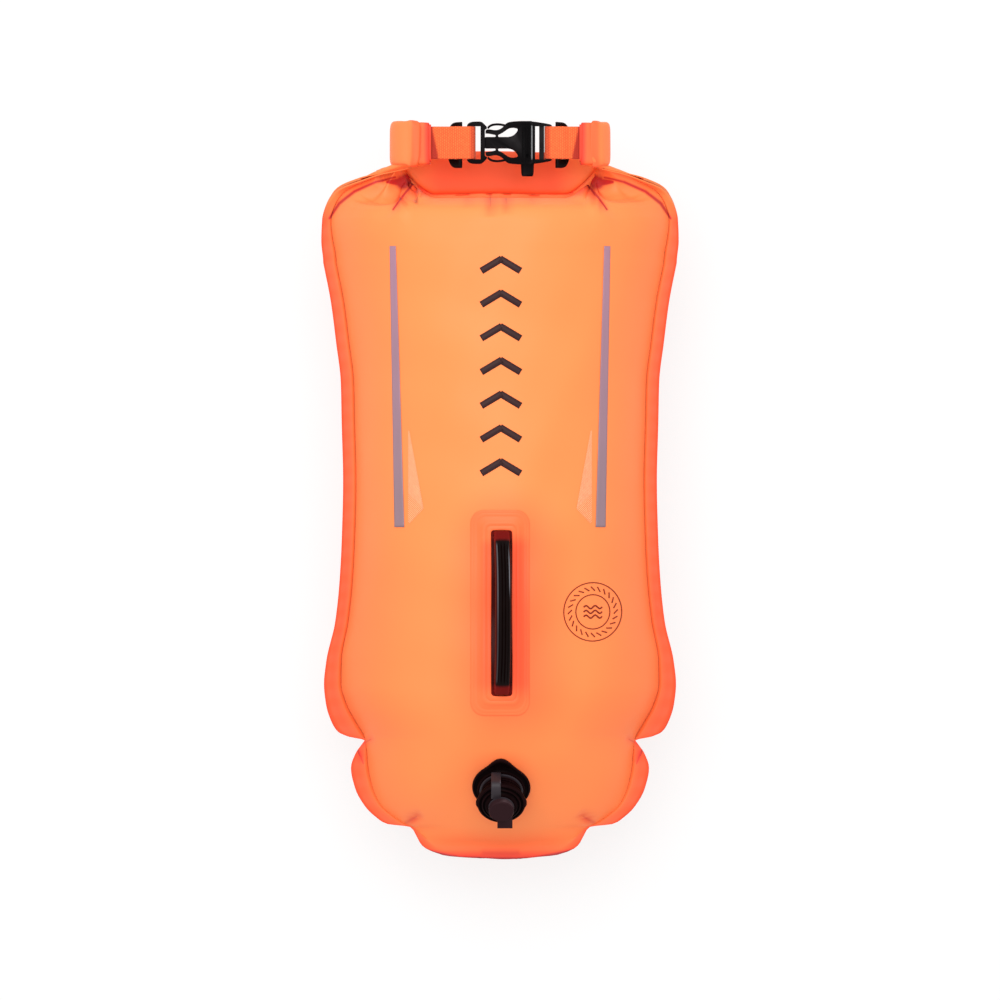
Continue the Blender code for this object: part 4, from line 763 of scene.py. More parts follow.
fold_shade = np.maximum(
    fold_shade, 0.30 * ease((out - 0.80) / 0.20) * (1 - ease((medial[..., 1] - 0.205) / 0.020)))
front_sheet = sheet_object(
    "bag_front", front_points, front_finish, 1, (("flat", seam_and_slope_shade), ("fold", fold_shade)))
rear_sheet = sheet_object("bag_rear", rear_points, rear_finish, -1, (("flat", seam_and_slope_shade),))

# The inner sheet hugs the rear one, and lies between the two in the seam
LINED_ROWS = 3 * SHOULDER_STEPS  # rows of the shoulders where it still lies on the rear sheet
LINER_ROWS = LINER_REACH * SHOULDER_STEPS  # rows of the shoulders that it reaches
LINER_GAP = 0.0008
rear_normal = grid_normals(rear_points)
body_rows = medial.shape[0] - len(INTO_ROLL) - (len(SHOULDER_SHARES) - 1) * SHOULDER_STEPS
hug = np.where(out > 0, 0.0, ease((1 - np.abs(share)) / 0.05)) * np.ones(out.shape)
hug = hug * ease((body_rows + LINER_ROWS - row_index) / (LINER_ROWS - LINED_ROWS))
room = np.linalg.norm(medial - rear_points, axis=2) / (SHEET + LINER_GAP)
hug = hug * ease((room - 2) / 2)
lying = rear_points + rear_normal * (SHEET + LINER_GAP)
liner_points = (medial + (lying - medial) * hug[..., None])[:body_rows + LINER_ROWS]
inner_sheet = sheet_object("bag_inner", liner_points, liner_finish, 1)

for piece, node, slot in (
        (front_sheet, "front_panel", "coated_fabric"), (rear_sheet, "rear_panel", "coated_fabric"),
        (inner_sheet, "inner_panel", "liner_fabric")):
    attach(piece, "bag")
    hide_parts(node)

# The rolled mouth: the flat top of the bag is wound two and a half times over a stiff strip, and
# its two ends are brought forward. Each layer of the roll ends a little short of the one inside it.

ROLL_TURNS = 2.5
ROLL_PITCH = 0.0013
ROLL_SHEET = 0.0008
CORE_HALF_HEIGHT = 0.0135
CORE_HALF_THICKNESS = 0.0031
ROLL_SOFTNESS = 0.34
STEPS_PER_TURN = 44
ROLL_STATIONS = 190
LAYER_STEPS = (0.0012, 0.0078)  # how much shorter the second layer, and then the third one, is
LAYER_WAVE = (0.0009, 0.0016)  # how far the two layers' ends wave in and out
LAYER_TURNS = (0.62, 1.62)  # the turn at which each of the two begins
LAYER_FADE = 0.26  # turns over which it becomes shorter
ENDS_FROM = 0.80  # share of the mouth's half length from which the layers become shorter
TUCK_FROM, TUCK_OVER = 0.84, 0.10  # shares at which the ends are tucked and so less even
# Unevenness of the roll, as its size and its waves' rate along the mouth: puffed out as a share of
# the depth, sagging in metres, and the same two for the tucked ends
PUFF = (0.10, 17.0)
SAG = (0.0006, 9.0)
TUCK_PUFF = (0.16, 40.0)
TUCK_SAG = (0.0011, 26.0)
# Creases across the roll's back: place, lean and depth
ROLL_CREASES = (
    (-0.030, 0.9, 0.0022), (-0.009, 0.35, 0.0016), (0.006, -0.35, 0.0016), (0.027, -0.9, 0.0022))
CREASE_WIDTH = 0.0035
BACK_REACH = 0.045  # half width of the back's middle, where the creases are


def blunt(value, power):
    """A sine or cosine with a blunter curve, which makes a round section squarer."""
    return np.sign(value) * np.abs(value) ** power


def roll_grid():
    """The rolled sheet's middle surface, station by station along the mouth."""
    steps = np.arange(int(STEPS_PER_TURN * ROLL_TURNS) + 1)
    turns = steps / STEPS_PER_TURN
    wound = turns / ROLL_TURNS
    angle = 2 * math.pi * turns
    height = (CORE_HALF_HEIGHT + ROLL_PITCH * turns) * blunt(np.cos(angle), ROLL_SOFTNESS)
    depth = (CORE_HALF_THICKNESS + ROLL_PITCH * turns) * blunt(np.sin(angle), ROLL_SOFTNESS)
    second, third = (ease((turns - start) / LAYER_FADE) for start in LAYER_TURNS)
    short = second * (LAYER_STEPS[0] + LAYER_WAVE[0] * np.sin(angle + 0.6))
    short += third * (LAYER_STEPS[1] + LAYER_WAVE[1] * np.sin(angle * 2.0 + 2.2))
    flat = np.zeros(len(steps))
    grid = np.empty((ROLL_STATIONS, len(steps), 3))
    where = np.linspace(-1, 1, ROLL_STATIONS)
    for i, place in enumerate(where):
        total = sum(mouth_runs(LEFT_END_X if place < 0 else RIGHT_END_X))
        near_end = ease((abs(place) - ENDS_FROM) / (1 - ENDS_FROM))
        path, outward = mouth_path(place * (1 - near_end * short / total))
        middle = path[:1] if near_end == 0 else path
        tuck = ease((abs(place) - TUCK_FROM) / TUCK_OVER) * wound
        puff = 1 + PUFF[0] * np.sin(PUFF[1] * place + 0.6) * wound
        puff += tuck * TUCK_PUFF[0] * np.sin(angle * 1.5 + TUCK_PUFF[1] * place)
        sag = SAG[0] * np.sin(SAG[1] * place + 2.0) * wound
        sag += tuck * TUCK_SAG[0] * np.sin(TUCK_SAG[1] * place + 1.3) * np.sign(height)
        back = math.exp(-((path[0, 0] / BACK_REACH) ** 4)) * (
            path[0, 2] < SEAM_HEIGHT + MOUTH_CORNER)
        crease = sum(
            deep * np.exp(-(
                ((path[:, 0] - x0 + lean * (height + ROLL_HALF_HEIGHT)) / CREASE_WIDTH) ** 2))
            for x0, lean, deep in ROLL_CREASES)
        fade = np.clip((ROLL_HALF_HEIGHT - height) / (2 * ROLL_HALF_HEIGHT), 0, 1)
        depth_here = depth * puff - back * crease * fade * (depth > 0) * (turns > 1.9)
        grid[i] = (
            middle + np.stack([flat, height + sag, flat], axis=1)
            + outward[:1] * depth_here[:, None])
    return grid, where


roll_points, roll_places = roll_grid()
# Painted shade on the roll: its back most, its sides and its ends are tinted redder through the
# flat attribute, and its back and the inner layers at its ends darker through the fold attribute
from_middle = np.abs(roll_places)[:, None]
roll_back = 1 - ease((from_middle - 0.30) / 0.22)
ends = ease((from_middle - 0.925) / 0.03)
sides = ease((from_middle - 0.66) / 0.12)
turn_share = np.linspace(0, 1, roll_points.shape[1])
inner_ends = 0.9 * ease((from_middle - 0.972) / 0.014) * (turn_share < 0.72)
roll_finish = coated_cloth("coated_roll", ORANGE_DEEP, (1.0, 0.26, 0.075, 1.0), 0.55)
rolled_mouth = sheet_object(
    "bag_mouth", roll_points, roll_finish, 1,
    (("flat", np.clip(0.72 * roll_back + 0.28 * sides + 0.50 * ends, 0, 1)),
     ("fold", np.maximum(0.25 * roll_back * turn_share, inner_ends))), ROLL_SHEET)
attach(rolled_mouth, "bag")
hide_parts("rolled_mouth")

# What is welded or stuck on the front follows the blown-up sheet, so each such piece is laid out
# flat, as it is cut, and then dropped on the sheet from above.

skin = (front_points + grid_normals(front_points) * (SHEET / 2)).reshape(-1, 3)
skin_tree = BVHTree.FromPolygons(
    skin.tolist(), quads(*front_points.shape[:2]).tolist(), all_triangles=False)
NORMAL_REACH = 0.0015  # distance over which the sheet's slope is felt
ABOVE_ALL = 0.3  # height over every piece
DOWN = Vector((0.0, 0.0, -1.0))


def skin_height(x, y):
    """Height of the front sheet's face under a place seen from above."""
    return skin_tree.ray_cast(Vector((x, y, ABOVE_ALL)), DOWN)[0].z


def on_front(flat, heights):
    """Points over the front sheet: places seen from above, and heights along its normal."""
    made = np.empty((len(flat), 3))
    for i, ((x, y), height) in enumerate(zip(flat, np.broadcast_to(heights, len(flat)))):
        z = skin_height(x, y)
        dx = skin_height(x + NORMAL_REACH, y) - skin_height(x - NORMAL_REACH, y)
        dy = skin_height(x, y + NORMAL_REACH) - skin_height(x, y - NORMAL_REACH)
        normal = Vector((-dx, -dy, 2 * NORMAL_REACH)).normalized()
        made[i] = Vector((x, y, z)) + normal * height
    return made


# The reflective strips: two narrow bands of grey-pink film with fine glass beads in it, pressed on
# the front with heat. They widen from the shoulders down to the handle.

STRIP_TOP = (0.0815, 0.1850, 0.0046)  # place across, along, and width
STRIP_BOTTOM = (0.0765, -0.0290, 0.0074)
STRIP_FILM = 0.0004
STRIP_LIFT = 0.0001  # of the film over the sheet
STRIP_ROWS = 110
STRIP_COLUMNS = 9

film_finish, tree, shader, place = new_finish("reflective_film")
cells = add(tree, "ShaderNodeTexVoronoi", {"Vector": place, "Scale": 1400.0})
stretch = add(tree, "ShaderNodeMapping", {"Vector": place, "Scale": (6.0, 0.6, 1.0)})
streaks = noise(tree, stretch.outputs["Vector"], 60.0, 4.0)
down = add(tree, "ShaderNodeMapRange", {
    "Value": add(tree, "ShaderNodeSeparateXYZ", {0: place}).outputs["Y"],
    "From Min": STRIP_TOP[1], "From Max": STRIP_BOTTOM[1]})
# The film is darker towards the bottom of the strip, and streaked
tone_shift = math_node(tree, "MULTIPLY_ADD", streaks, 0.5, -0.25)
tone_shift = math_node(tree, "ADD", down.outputs["Result"], tone_shift)
wire(tree, shader, {
    "Base Color": mix_colour(
        tree, tone_shift, (0.375, 0.190, 0.260, 1.0), (0.270, 0.170, 0.200, 1.0)),
    "Normal": bump(tree, cells.outputs["Distance"], 0.15, 0.00005),
    "Roughness": math_node(tree, "MULTIPLY_ADD", streaks, 0.15, 0.35), "Metallic": 0.15})

for side, word in ((-1.0, "left"), (1.0, "right")):
    t = np.linspace(0, 1, STRIP_ROWS)[:, None]
    s = np.linspace(-0.5, 0.5, STRIP_COLUMNS)[None, :]
    centre, y, width = (low + (high - low) * t for low, high in zip(STRIP_BOTTOM, STRIP_TOP))
    flat = np.stack([side * centre + width * s, y + 0 * s], axis=2)
    points = on_front(flat.reshape(-1, 2), STRIP_FILM / 2 + STRIP_LIFT)
    strip = sheet_object(
        "reflective_band_" + word, points.reshape(STRIP_ROWS, STRIP_COLUMNS, 3), film_finish, 1,
        thickness=STRIP_FILM)
    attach(strip, "bag")
    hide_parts("reflective_strip_" + word)

# The handle's patch: a stiffer piece of the coated cloth with a long window, welded round its edge
# and raised over the handle's flange. The weld leaves fine lines along both of its sides.

PATCH_X = 0.0
PATCH_HALF = (0.0224, 0.0780)
PATCH_CORNER = 0.0100
FLANGE_HALF = (0.0128, 0.0688)
WINDOW_HALF = (0.0078, 0.0628)
WINDOW_CORNER = WINDOW_HALF[0] * 0.28
PLATE = 0.0012
# Share of the way from the outer edge to the window, and the patch's upper face over the bag; then
# back under the raised part and out again to the edge, as one closed ring of sheet
PATCH_PROFILE = (
    (0.000, 0.00025), (0.008, 0.00045), (0.030, 0.0006), (0.120, 0.0007), (0.135, 0.00062),
    (0.150, 0.0007), (0.290, 0.0009), (0.310, 0.00078), (0.330, 0.0009), (0.480, 0.0013),
    (0.530, 0.0017), (0.580, 0.0022), (0.620, 0.0024), (0.740, 0.0025), (0.760, 0.0023),
    (0.780, 0.0026), (0.930, 0.0028), (0.980, 0.0027), (1.000, 0.0024), (1.000, 0.0015),
    (0.70, 0.0018), (0.64, 0.0017), (0.55, 0.0004), (0.02, 0.0002),
)
ROUND_STEPS = (10, 14, 72)  # points round each corner, along each end, and along each side


def rounded_loop(half_x, half_y, corner, centre):
    """A rounded rectangle's points, the same number for any size, from its right side round."""
    per_corner, per_end, per_side = ROUND_STEPS
    points = []
    for sign_x, sign_y, start in ((1, 1, 0), (-1, 1, 90), (-1, -1, 180), (1, -1, 270)):
        cx, cy = sign_x * (half_x - corner), sign_y * (half_y - corner)
        for angle in np.radians(np.linspace(start, start + 90, per_corner)):
            points.append((cx + corner * math.cos(angle), cy + corner * math.sin(angle)))
        count, along = (per_end, (-2 * cx, 0)) if start in (0, 180) else (per_side, (0, -2 * cy))
        end = np.array(points[-1])
        for t in np.arange(1, count) / count:
            points.append(tuple(end + t * np.array(along)))
    return np.array(points) + centre


def ring_faces(rings, count, base=0):
    """Corner indices of the faces between closed rings of points, one after another."""
    return [
        (base + r * count + i, base + r * count + j, base + (r + 1) * count + j,
         base + (r + 1) * count + i)
        for r in range(rings - 1) for i, j in zip(range(count), [*range(1, count), 0])]


def mesh_piece(name, points, faces, finish, smooth_angle, attributes=()):
    """A piece from points and faces, turned to face outwards, with smooth shading to an angle.

    An attribute has a value for each point from the first one on, and is 0 for the rest.
    """
    mesh = bpy.data.meshes.new(name)
    mesh.from_pydata([tuple(p) for p in points], [], [tuple(f) for f in faces])
    for label, values in attributes:
        filled = np.zeros(len(mesh.vertices))
        filled[:len(values)] = values
        set_attribute(mesh, label, filled)
    bm = bmesh.new()
    bm.from_mesh(mesh)
    bmesh.ops.remove_doubles(bm, verts=bm.verts[:], dist=1e-6)
    bmesh.ops.recalc_face_normals(bm, faces=bm.faces[:])
    bm.to_mesh(mesh)
    bm.free()
    mesh.shade_smooth()
    mesh.set_sharp_from_angle(angle=math.radians(smooth_angle))
    mesh.materials.append(finish)
    return placed(name, mesh)


# The patch is a little redder than the sheet. The handle's shadow is painted on it in a deeper red,
# most of all beside the window on its right, and a fainter painted shade lies beside it on its
# left.
PATCH_SHADOW_RED = (1.0, 0.084, 0.025, 1.0)
low = HANDLE_CENTRE[1] - WINDOW_HALF[1] + 0.012
high = HANDLE_CENTRE[1] + WINDOW_HALF[1] - 0.014
patch_finish = coated_cloth(
    "coated_patch", (1.0, 0.168, 0.046, 1.0), (1.0, 0.153, 0.041, 1.0), 0.50,
    ((PATCH_SHADOW_RED, (
        ((0.0140, low), (0.0125, high), 0.0230, 0.0150, 0.95),
        ((-0.0085, low), (-0.0085, high), 0.0160, 0.0100, 0.60))),))
loops, heights = [], []
for share_in, height in PATCH_PROFILE + PATCH_PROFILE[:1]:
    half_x, half_y, corner, middle = (
        outer + (inner - outer) * share_in for outer, inner in (
            *zip(PATCH_HALF, WINDOW_HALF), (PATCH_CORNER, WINDOW_CORNER),
            (PATCH_X, HANDLE_CENTRE[0])))
    loops.append(rounded_loop(half_x, half_y, corner, (middle, HANDLE_CENTRE[1])))
    heights += [height] * len(loops[0])
handle_patch = mesh_piece(
    "reinforcing_patch", on_front(np.concatenate(loops), heights),
    ring_faces(len(loops), len(loops[0])), patch_finish, 50.0)
set_uv(handle_patch.data, vertex_places(handle_patch.data)[:, :2] - HANDLE_CENTRE)
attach(handle_patch, "bag")
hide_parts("handle_patch")

# The grab handle: one moulding of glossy black rubber. A thin flange lies under the patch, and a
# ribbed arch stands up through its window.

HANDLE_HALF_LENGTH = 0.0620
HANDLE_HALF_WIDTH = 0.0070
HANDLE_NARROWING = 0.34  # how much narrower the arch is on top than underneath
HANDLE_THICKNESS = 0.0048
HANDLE_RISE = 0.0145
HANDLE_FOOT = 0.0042  # height of the arch's ends over the bag
HANDLE_RIBS = 4
RIB_DEPTH = 0.00045
HANDLE_LEAN = 0.0019  # how far the arch leans to the right at its middle
HANDLE_STATIONS = 90
HANDLE_AROUND = 64
HANDLE_END = 0.038  # share of its half length over which each end is rounded
# Places round its section, in degrees from its right: the painted highlight on its two upper edges,
# as the middle and half width of a line, and the flank that faces the sheet, which gets a painted
# reflection of the orange, as where it begins and ends
LEFT_GLINT, RIGHT_GLINT = (142, 8), (36, 7)
FLANK = (146, 250)
PLATE_LIFT = 0.0004  # of the flange over the sheet
PLATE_INSET = 0.0125  # how far inside the flange's edge its upper face closes

black_gloss, tree, shader, place = new_finish("glossy_black_rubber")
smear = noise(tree, place, 120.0, 5.0)
colour = mix_colour(tree, smear, (0.0030, 0.0010, 0.0010, 1.0), (0.0060, 0.0022, 0.0020, 1.0))
# Painted reflection and highlight: its flank and ends are tinted with the orange round them that
# they throw back, and its upper edges with the light.
colour = tinted(tree, colour, (
    ("painted_reflection", (0.175, 0.0060, 0.0045, 1.0)), ("glint", (0.34, 0.34, 0.38, 1.0))))
wire(tree, shader, {
    "Base Color": colour, "Roughness": math_node(tree, "MULTIPLY_ADD", smear, 0.16, 0.10),
    "Specular IOR Level": 0.05})


def handle_mesh():
    """The arch as rings of points, wide and flat underneath and ribbed on top."""
    around = np.linspace(0, 2 * math.pi, HANDLE_AROUND, endpoint=False)
    degrees = np.degrees(around)
    upward = (1 + np.sin(around)) / 2
    across = HANDLE_HALF_WIDTH * blunt(np.cos(around), 0.6) * (1 - HANDLE_NARROWING * upward)
    up = HANDLE_THICKNESS / 2 * blunt(np.sin(around), 0.6)
    rib = RIB_DEPTH * np.cos(2 * math.pi * HANDLE_RIBS * across / (1.3 * HANDLE_HALF_WIDTH))
    on_top = np.clip(np.sin(around) * 3 - 1.2, 0, 1)
    foot = skin_height(*HANDLE_CENTRE) + HANDLE_FOOT
    left_line = np.exp(-(((degrees - LEFT_GLINT[0]) / LEFT_GLINT[1]) ** 4))
    right_line = np.exp(-(((degrees - RIGHT_GLINT[0]) / RIGHT_GLINT[1]) ** 4))
    flank = ease((degrees - FLANK[0]) / 14) * ease((FLANK[1] - degrees) / 20)
    rings, painted_reflection, glint = [], [], []
    for t in np.sin(np.linspace(-math.pi / 2, math.pi / 2, HANDLE_STATIONS)):
        past = max(0.0, abs(t) - (1 - HANDLE_END)) / HANDLE_END
        end = max(math.sqrt(max(0.0, 1 - past ** 2)), 0.02)
        slope = -3 * HANDLE_RISE * abs(t) ** 2 * np.sign(t) / HANDLE_HALF_LENGTH
        normal = Vector((0, -slope, 1)).normalized()
        out_by = up * end + rib * on_top * ease((0.93 - abs(t)) / 0.12)
        lean = HANDLE_LEAN * (1 - abs(t) ** 3) * (0.35 + 0.65 * upward)
        x = HANDLE_CENTRE[0] + across * (0.82 + 0.18 * end) + lean
        y = HANDLE_CENTRE[1] + HANDLE_HALF_LENGTH * t + normal.y * out_by
        z = foot + HANDLE_RISE * (1 - abs(t) ** 3) + normal.z * out_by
        rings.append(np.stack([x, y, z], axis=1))
        # Painted reflection of the orange on the flank and ends, and painted highlight lines on the
        # upper edges
        side = (0.25 + 0.25 * t * t) * flank
        painted_reflection.append(np.clip(side + ease((abs(t) - 0.86) / 0.04) * (1 - 0.2 * on_top), 0, 1))
        glint.append(
            0.26 * left_line * ease((0.86 - abs(t)) / 0.06) * (0.45 + 0.55 * ease((t + 0.3) / 0.6))
            + 0.55 * right_line * np.exp(-(((t - 0.50) / 0.24) ** 4)))
    return rings, np.concatenate(painted_reflection), np.concatenate(glint)


rings, painted_reflection, glint = handle_mesh()
count = HANDLE_AROUND
faces = ring_faces(len(rings), count)
faces += [tuple(range(count))[::-1], tuple(range((len(rings) - 1) * count, len(rings) * count))]
base = len(rings) * count
plate = [
    on_front(rounded_loop(
        FLANGE_HALF[0] - inset, FLANGE_HALF[1] - inset, PATCH_CORNER - inset, HANDLE_CENTRE),
        height)
    for inset, height in (
        (0.0, PLATE_LIFT), (0.0, PLATE_LIFT + PLATE), (PLATE_INSET, PLATE_LIFT + PLATE))]
# The flange gets the painted reflection of the orange too, more on its left and at its ends
plate_points = np.concatenate(plate)[:, :2] - HANDLE_CENTRE
left_side = ease((0.004 - plate_points[:, 0]) / 0.006)
at_end = ease((np.abs(plate_points[:, 1]) - 0.86 * HANDLE_HALF_LENGTH) / 0.004)
painted_reflection = np.concatenate([painted_reflection, np.maximum(0.08 + 0.17 * left_side, 0.75 * at_end)])
count = len(plate[0])
faces += ring_faces(len(plate), count, base)
faces.append(tuple(range(base + 2 * count, base + 3 * count)))
faces.append(tuple(range(base, base + count)))
grab_handle = mesh_piece(
    "rubber_handle", np.concatenate([*rings, *plate]), faces, black_gloss, 35.0,
    (("painted_reflection", painted_reflection), ("glint", glint)))
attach(grab_handle, "bag")
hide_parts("grab_handle")

# The straps: orange webbing 25 mm wide. Each goes from the roll round a bar of the buckle and back
# into the roll, and the D-ring's straight side lies between its two layers.

STRAP_Z = 0.12415
STRAP_WIDTH = 0.0246
STRAP_THICKNESS = 0.0014
STRAP_IN_ROLL = 0.0050
STRAP_FALL = 0.0055  # length over which it comes down beside the D-ring
RING_WIRE = 0.0032
BAR = 0.0034
BUCKLE_START = -0.0252
BUCKLE_LENGTH = 0.0647
PLUG_BAR_X = BUCKLE_START + 0.0490 * BUCKLE_LENGTH
LADDER_BAR_X = BUCKLE_START + 0.9665 * BUCKLE_LENGTH
LEFT_RING_X = -0.0305
RIGHT_RING_X = 0.0440
STRAP_CELL = (0.00200, 0.00145)  # the weave's repeat along the strap and across it
YARN_PITCH = 0.00042
STRAP_ROWS = 25
STRAP_EDGE = 0.93  # share of the half width from which the webbing's edge is thinner
EDGE_THINNING = 0.06
SHADE_FADE = 0.0022  # length over which the roll's shade fades out on a strap
SHADE_SLANT = 0.0042  # how much further that shade reaches at the strap's lower edge

webbing, tree, shader, _ = new_finish("woven_webbing")
uv = add(tree, "ShaderNodeUVMap", uv_map="cloth").outputs["UV"]
weave = add(tree, "ShaderNodeTexBrick", {
    "Vector": uv, "Color1": (1.0, 0.172, 0.044, 1.0), "Color2": (0.94, 0.146, 0.037, 1.0),
    "Mortar": (0.58, 0.058, 0.016, 1.0), "Scale": 1.0, "Brick Width": STRAP_CELL[0],
    "Row Height": STRAP_CELL[1], "Mortar Size": 0.00022, "Mortar Smooth": 0.8}, offset=0.5)
along = add(tree, "ShaderNodeSeparateXYZ", {0: uv}).outputs[0]
yarn = math_node(tree, "SINE", math_node(tree, "MULTIPLY", along, 2 * math.pi / YARN_PITCH))
height = math_node(tree, "MULTIPLY_ADD", weave.outputs["Fac"], -1.0, 1.0)
height = math_node(tree, "MULTIPLY_ADD", yarn, 0.12, height)
# The fold attribute paints shade on the webbing where it runs into the roll and round the bar
wire(tree, shader, {
    "Base Color": tinted(tree, weave.outputs["Color"], (("fold", (0.36, 0.014, 0.010, 1.0)),)),
    "Normal": bump(tree, height, 0.55, 0.00022), "Roughness": 0.72, "Specular IOR Level": 0.2,
    "Sheen Weight": 0.15})


def strap_centre_line(bar_x, ring_x, end_x, side):
    """Places (x, height over the strap's middle) from one end round the bar to the other."""
    apart = (STRAP_THICKNESS + GAP) / 2
    over_ring = RING_WIRE / 2 + GAP + STRAP_THICKNESS / 2
    over_bar = BAR / 2 + GAP + STRAP_THICKNESS / 2
    start = abs(ring_x - bar_x) + RING_WIRE
    far = abs(end_x - bar_x) + STRAP_IN_ROLL
    outer = [(u, apart) for u in np.linspace(far, start + STRAP_FALL, 28)[:-1]]
    outer += [
        (start + STRAP_FALL * t, over_ring + (apart - over_ring) * ease(t))
        for t in np.linspace(1, 0, 12)]
    outer += [
        (u, over_ring + (over_bar - over_ring) * ease(1 - u / (start - 2 * RING_WIRE)))
        for u in np.linspace(start - 2 * RING_WIRE, 0, 8)[:-1]]
    wrap = [
        (over_bar * math.cos(a), over_bar * math.sin(a))
        for a in np.linspace(math.pi / 2, 3 * math.pi / 2, 19)]
    line = outer + wrap + [(u, -w) for u, w in outer[::-1]]
    return np.array([(bar_x + side * u, w) for u, w in line])


def strap_piece(name, bar_x, ring_x, end_x, side):
    """The doubled webbing, with painted shade where it runs into the roll and round the bar."""
    line = strap_centre_line(bar_x, ring_x, end_x, side)
    across = np.linspace(-1, 1, STRAP_ROWS)
    edge = np.clip((np.abs(across) - STRAP_EDGE) / (1 - STRAP_EDGE), 0, 1)
    points = np.empty((len(line), STRAP_ROWS, 3))
    points[..., 0] = line[:, :1]
    points[..., 1] = MOUTH_FRONT_Y + across * STRAP_WIDTH / 2
    points[..., 2] = STRAP_Z + line[:, 1:] * (1 - EDGE_THINNING * edge)
    slant = np.clip(0.5 - (points[..., 1] - MOUTH_FRONT_Y) / (0.8 * STRAP_WIDTH), 0, 1)
    in_roll = side * (points[..., 0] - end_x) + SHADE_FADE + SHADE_SLANT * slant
    at_bar = ease((0.0012 - side * (points[..., 0] - bar_x)) / 0.0010)
    shade = np.maximum(0.9 * ease(in_roll / SHADE_FADE), 0.5 * at_bar)
    return sheet_object(name, points, webbing, side, (("fold", shade),), STRAP_THICKNESS)


strap_left = strap_piece("strap_to_plug", PLUG_BAR_X, LEFT_RING_X, -LEFT_END_X, -1)
strap_right = strap_piece("strap_to_socket", LADDER_BAR_X, RIGHT_RING_X, RIGHT_END_X, 1)
for strap, node in ((strap_left, "strap_left"), (strap_right, "strap_right")):
    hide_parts(node)
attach(strap_right, "bag")
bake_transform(strap_left)

# The stiffener: a flat strip, cut from pale plastic sheet, round which the mouth is rolled. Only
# its two ends show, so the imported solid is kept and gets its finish.


def moulded(name, colour, tone_shift, roughness, specular):
    """Moulded plastic or rubber: fine spark-eroded grain, a little colour drift, and edges tinted
    towards a second tone, partly rubbed wear and partly painted highlights and reflections.
    """
    finish, tree, shader, place = new_finish(name)
    cloud = noise(tree, place, 90.0, 4.0)
    pointed = add(tree, "ShaderNodeNewGeometry").outputs["Pointiness"]
    edge = math_node(tree, "MULTIPLY", math_node(tree, "SUBTRACT", pointed, 0.52), 6.0)
    edge = add(tree, "ShaderNodeClamp", {"Value": math_node(tree, "MULTIPLY", edge, cloud)})
    wire(tree, shader, {
        "Base Color": mix_colour(tree, edge.outputs[0], colour, tone_shift),
        "Normal": bump(tree, noise(tree, place, 900.0), 0.25, 0.00003),
        "Roughness": math_node(tree, "MULTIPLY_ADD", cloud, 0.14, roughness - 0.07),
        "Specular IOR Level": specular})
    return finish


def finish_node(node, finish, rounding=0.0, segments=2):
    """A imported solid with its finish, its moulded edges rounded where rounding isn't zero."""
    obj = frame["nodes"][node]
    for place in obj.material_slots:
        place.material = finish
    join = obj.modifiers.new("join", "WELD")
    join.merge_threshold = 0.00001
    if rounding:
        round_edges = obj.modifiers.new("rounded", "BEVEL")
        round_edges.width = rounding
        round_edges.segments = segments
        round_edges.limit_method = "ANGLE"
        round_edges.angle_limit = math.radians(32)
        round_edges.use_clamp_overlap = True
        round_edges.harden_normals = True


finish_node("mouth_stiffener", moulded(
    "stiffener_plastic", (0.50, 0.50, 0.47, 1.0), (0.60, 0.60, 0.57, 1.0), 0.55, 0.3))

# The D-rings: moulded black nylon, hanging by their straight sides in the straps. Their two ends,
# beside the strap's edges, are much thicker than the bar and the bow.

RING_OUTER = 0.0176  # half length
RING_REACH = 0.0141
RING_TILT = math.radians(42)
RING_SQUARENESS = 0.42
RING_STEPS = 72
RING_AROUND = 16

black_nylon = moulded(
    "moulded_black_nylon", (0.0042, 0.0016, 0.0016, 1.0), (0.030, 0.012, 0.011, 1.0), 0.34, 0.05)
ring_hinges = {joint["child"]: joint for joint in frame["joints"]}


def ring_outline(reach, low, high):
    """A closed D: a straight side along x = 0 from low to high, and a square-shouldered bow."""
    middle, half = (low + high) / 2, (high - low) / 2
    made = [
        (reach * math.sin(angle) ** RING_SQUARENESS, middle + half * math.cos(angle))
        for angle in np.linspace(0, math.pi, RING_STEPS // 2)]
    made += [
        (0.0, low + (high - low) * t) for t in np.linspace(0, 1, RING_STEPS // 2 + 2)[1:-1]]
    return np.array(made)


def d_ring(name, node, body, side):
    """Rounded sections between the ring's outer outline and its eye, tilted with the ring."""
    outside = ring_outline(RING_REACH, -RING_OUTER, RING_OUTER) - (RING_WIRE / 2, 0.0)
    place = Vector(ring_hinges[body]["pos_m"])
    ends = [MOUTH_FRONT_Y + v * (STRAP_WIDTH / 2 + GAP) - place.y for v in (-1, 1)]
    eye = ring_outline(RING_REACH - 2 * RING_WIRE, *ends) + (RING_WIRE / 2, 0.0)
    tilt = Matrix.Rotation(RING_TILT * side, 4, "Y") @ Matrix.Scale(side, 4, (1, 0, 0))
    points = []
    for out_point, in_point in zip(outside, eye):
        middle, half = (out_point + in_point) / 2, (out_point - in_point) / 2
        for turn in np.linspace(0, 2 * math.pi, RING_AROUND, endpoint=False):
            x, y = middle + half * blunt(math.cos(turn), 0.7)
            up = RING_WIRE / 2 * blunt(math.sin(turn), 0.7)
            points.append(place + tilt @ Vector((x, y, up)))
    faces = [
        tuple(i % len(points) for i in face)
        for face in ring_faces(len(outside) + 1, RING_AROUND)]
    ring = mesh_piece(name, points, faces, black_nylon, 60.0)
    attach(ring, body)
    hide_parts(node)


d_ring("tow_ring_left", "d_ring_left", "ring_left", -1.0)
d_ring("tow_ring_right", "d_ring_right", "ring_right", 1.0)

# The buckle: a side-release buckle moulded in black acetal. The plug's two bowed arms snap into the
# socket, whose right end is a frame for the strap, with a whistle moulded across it.

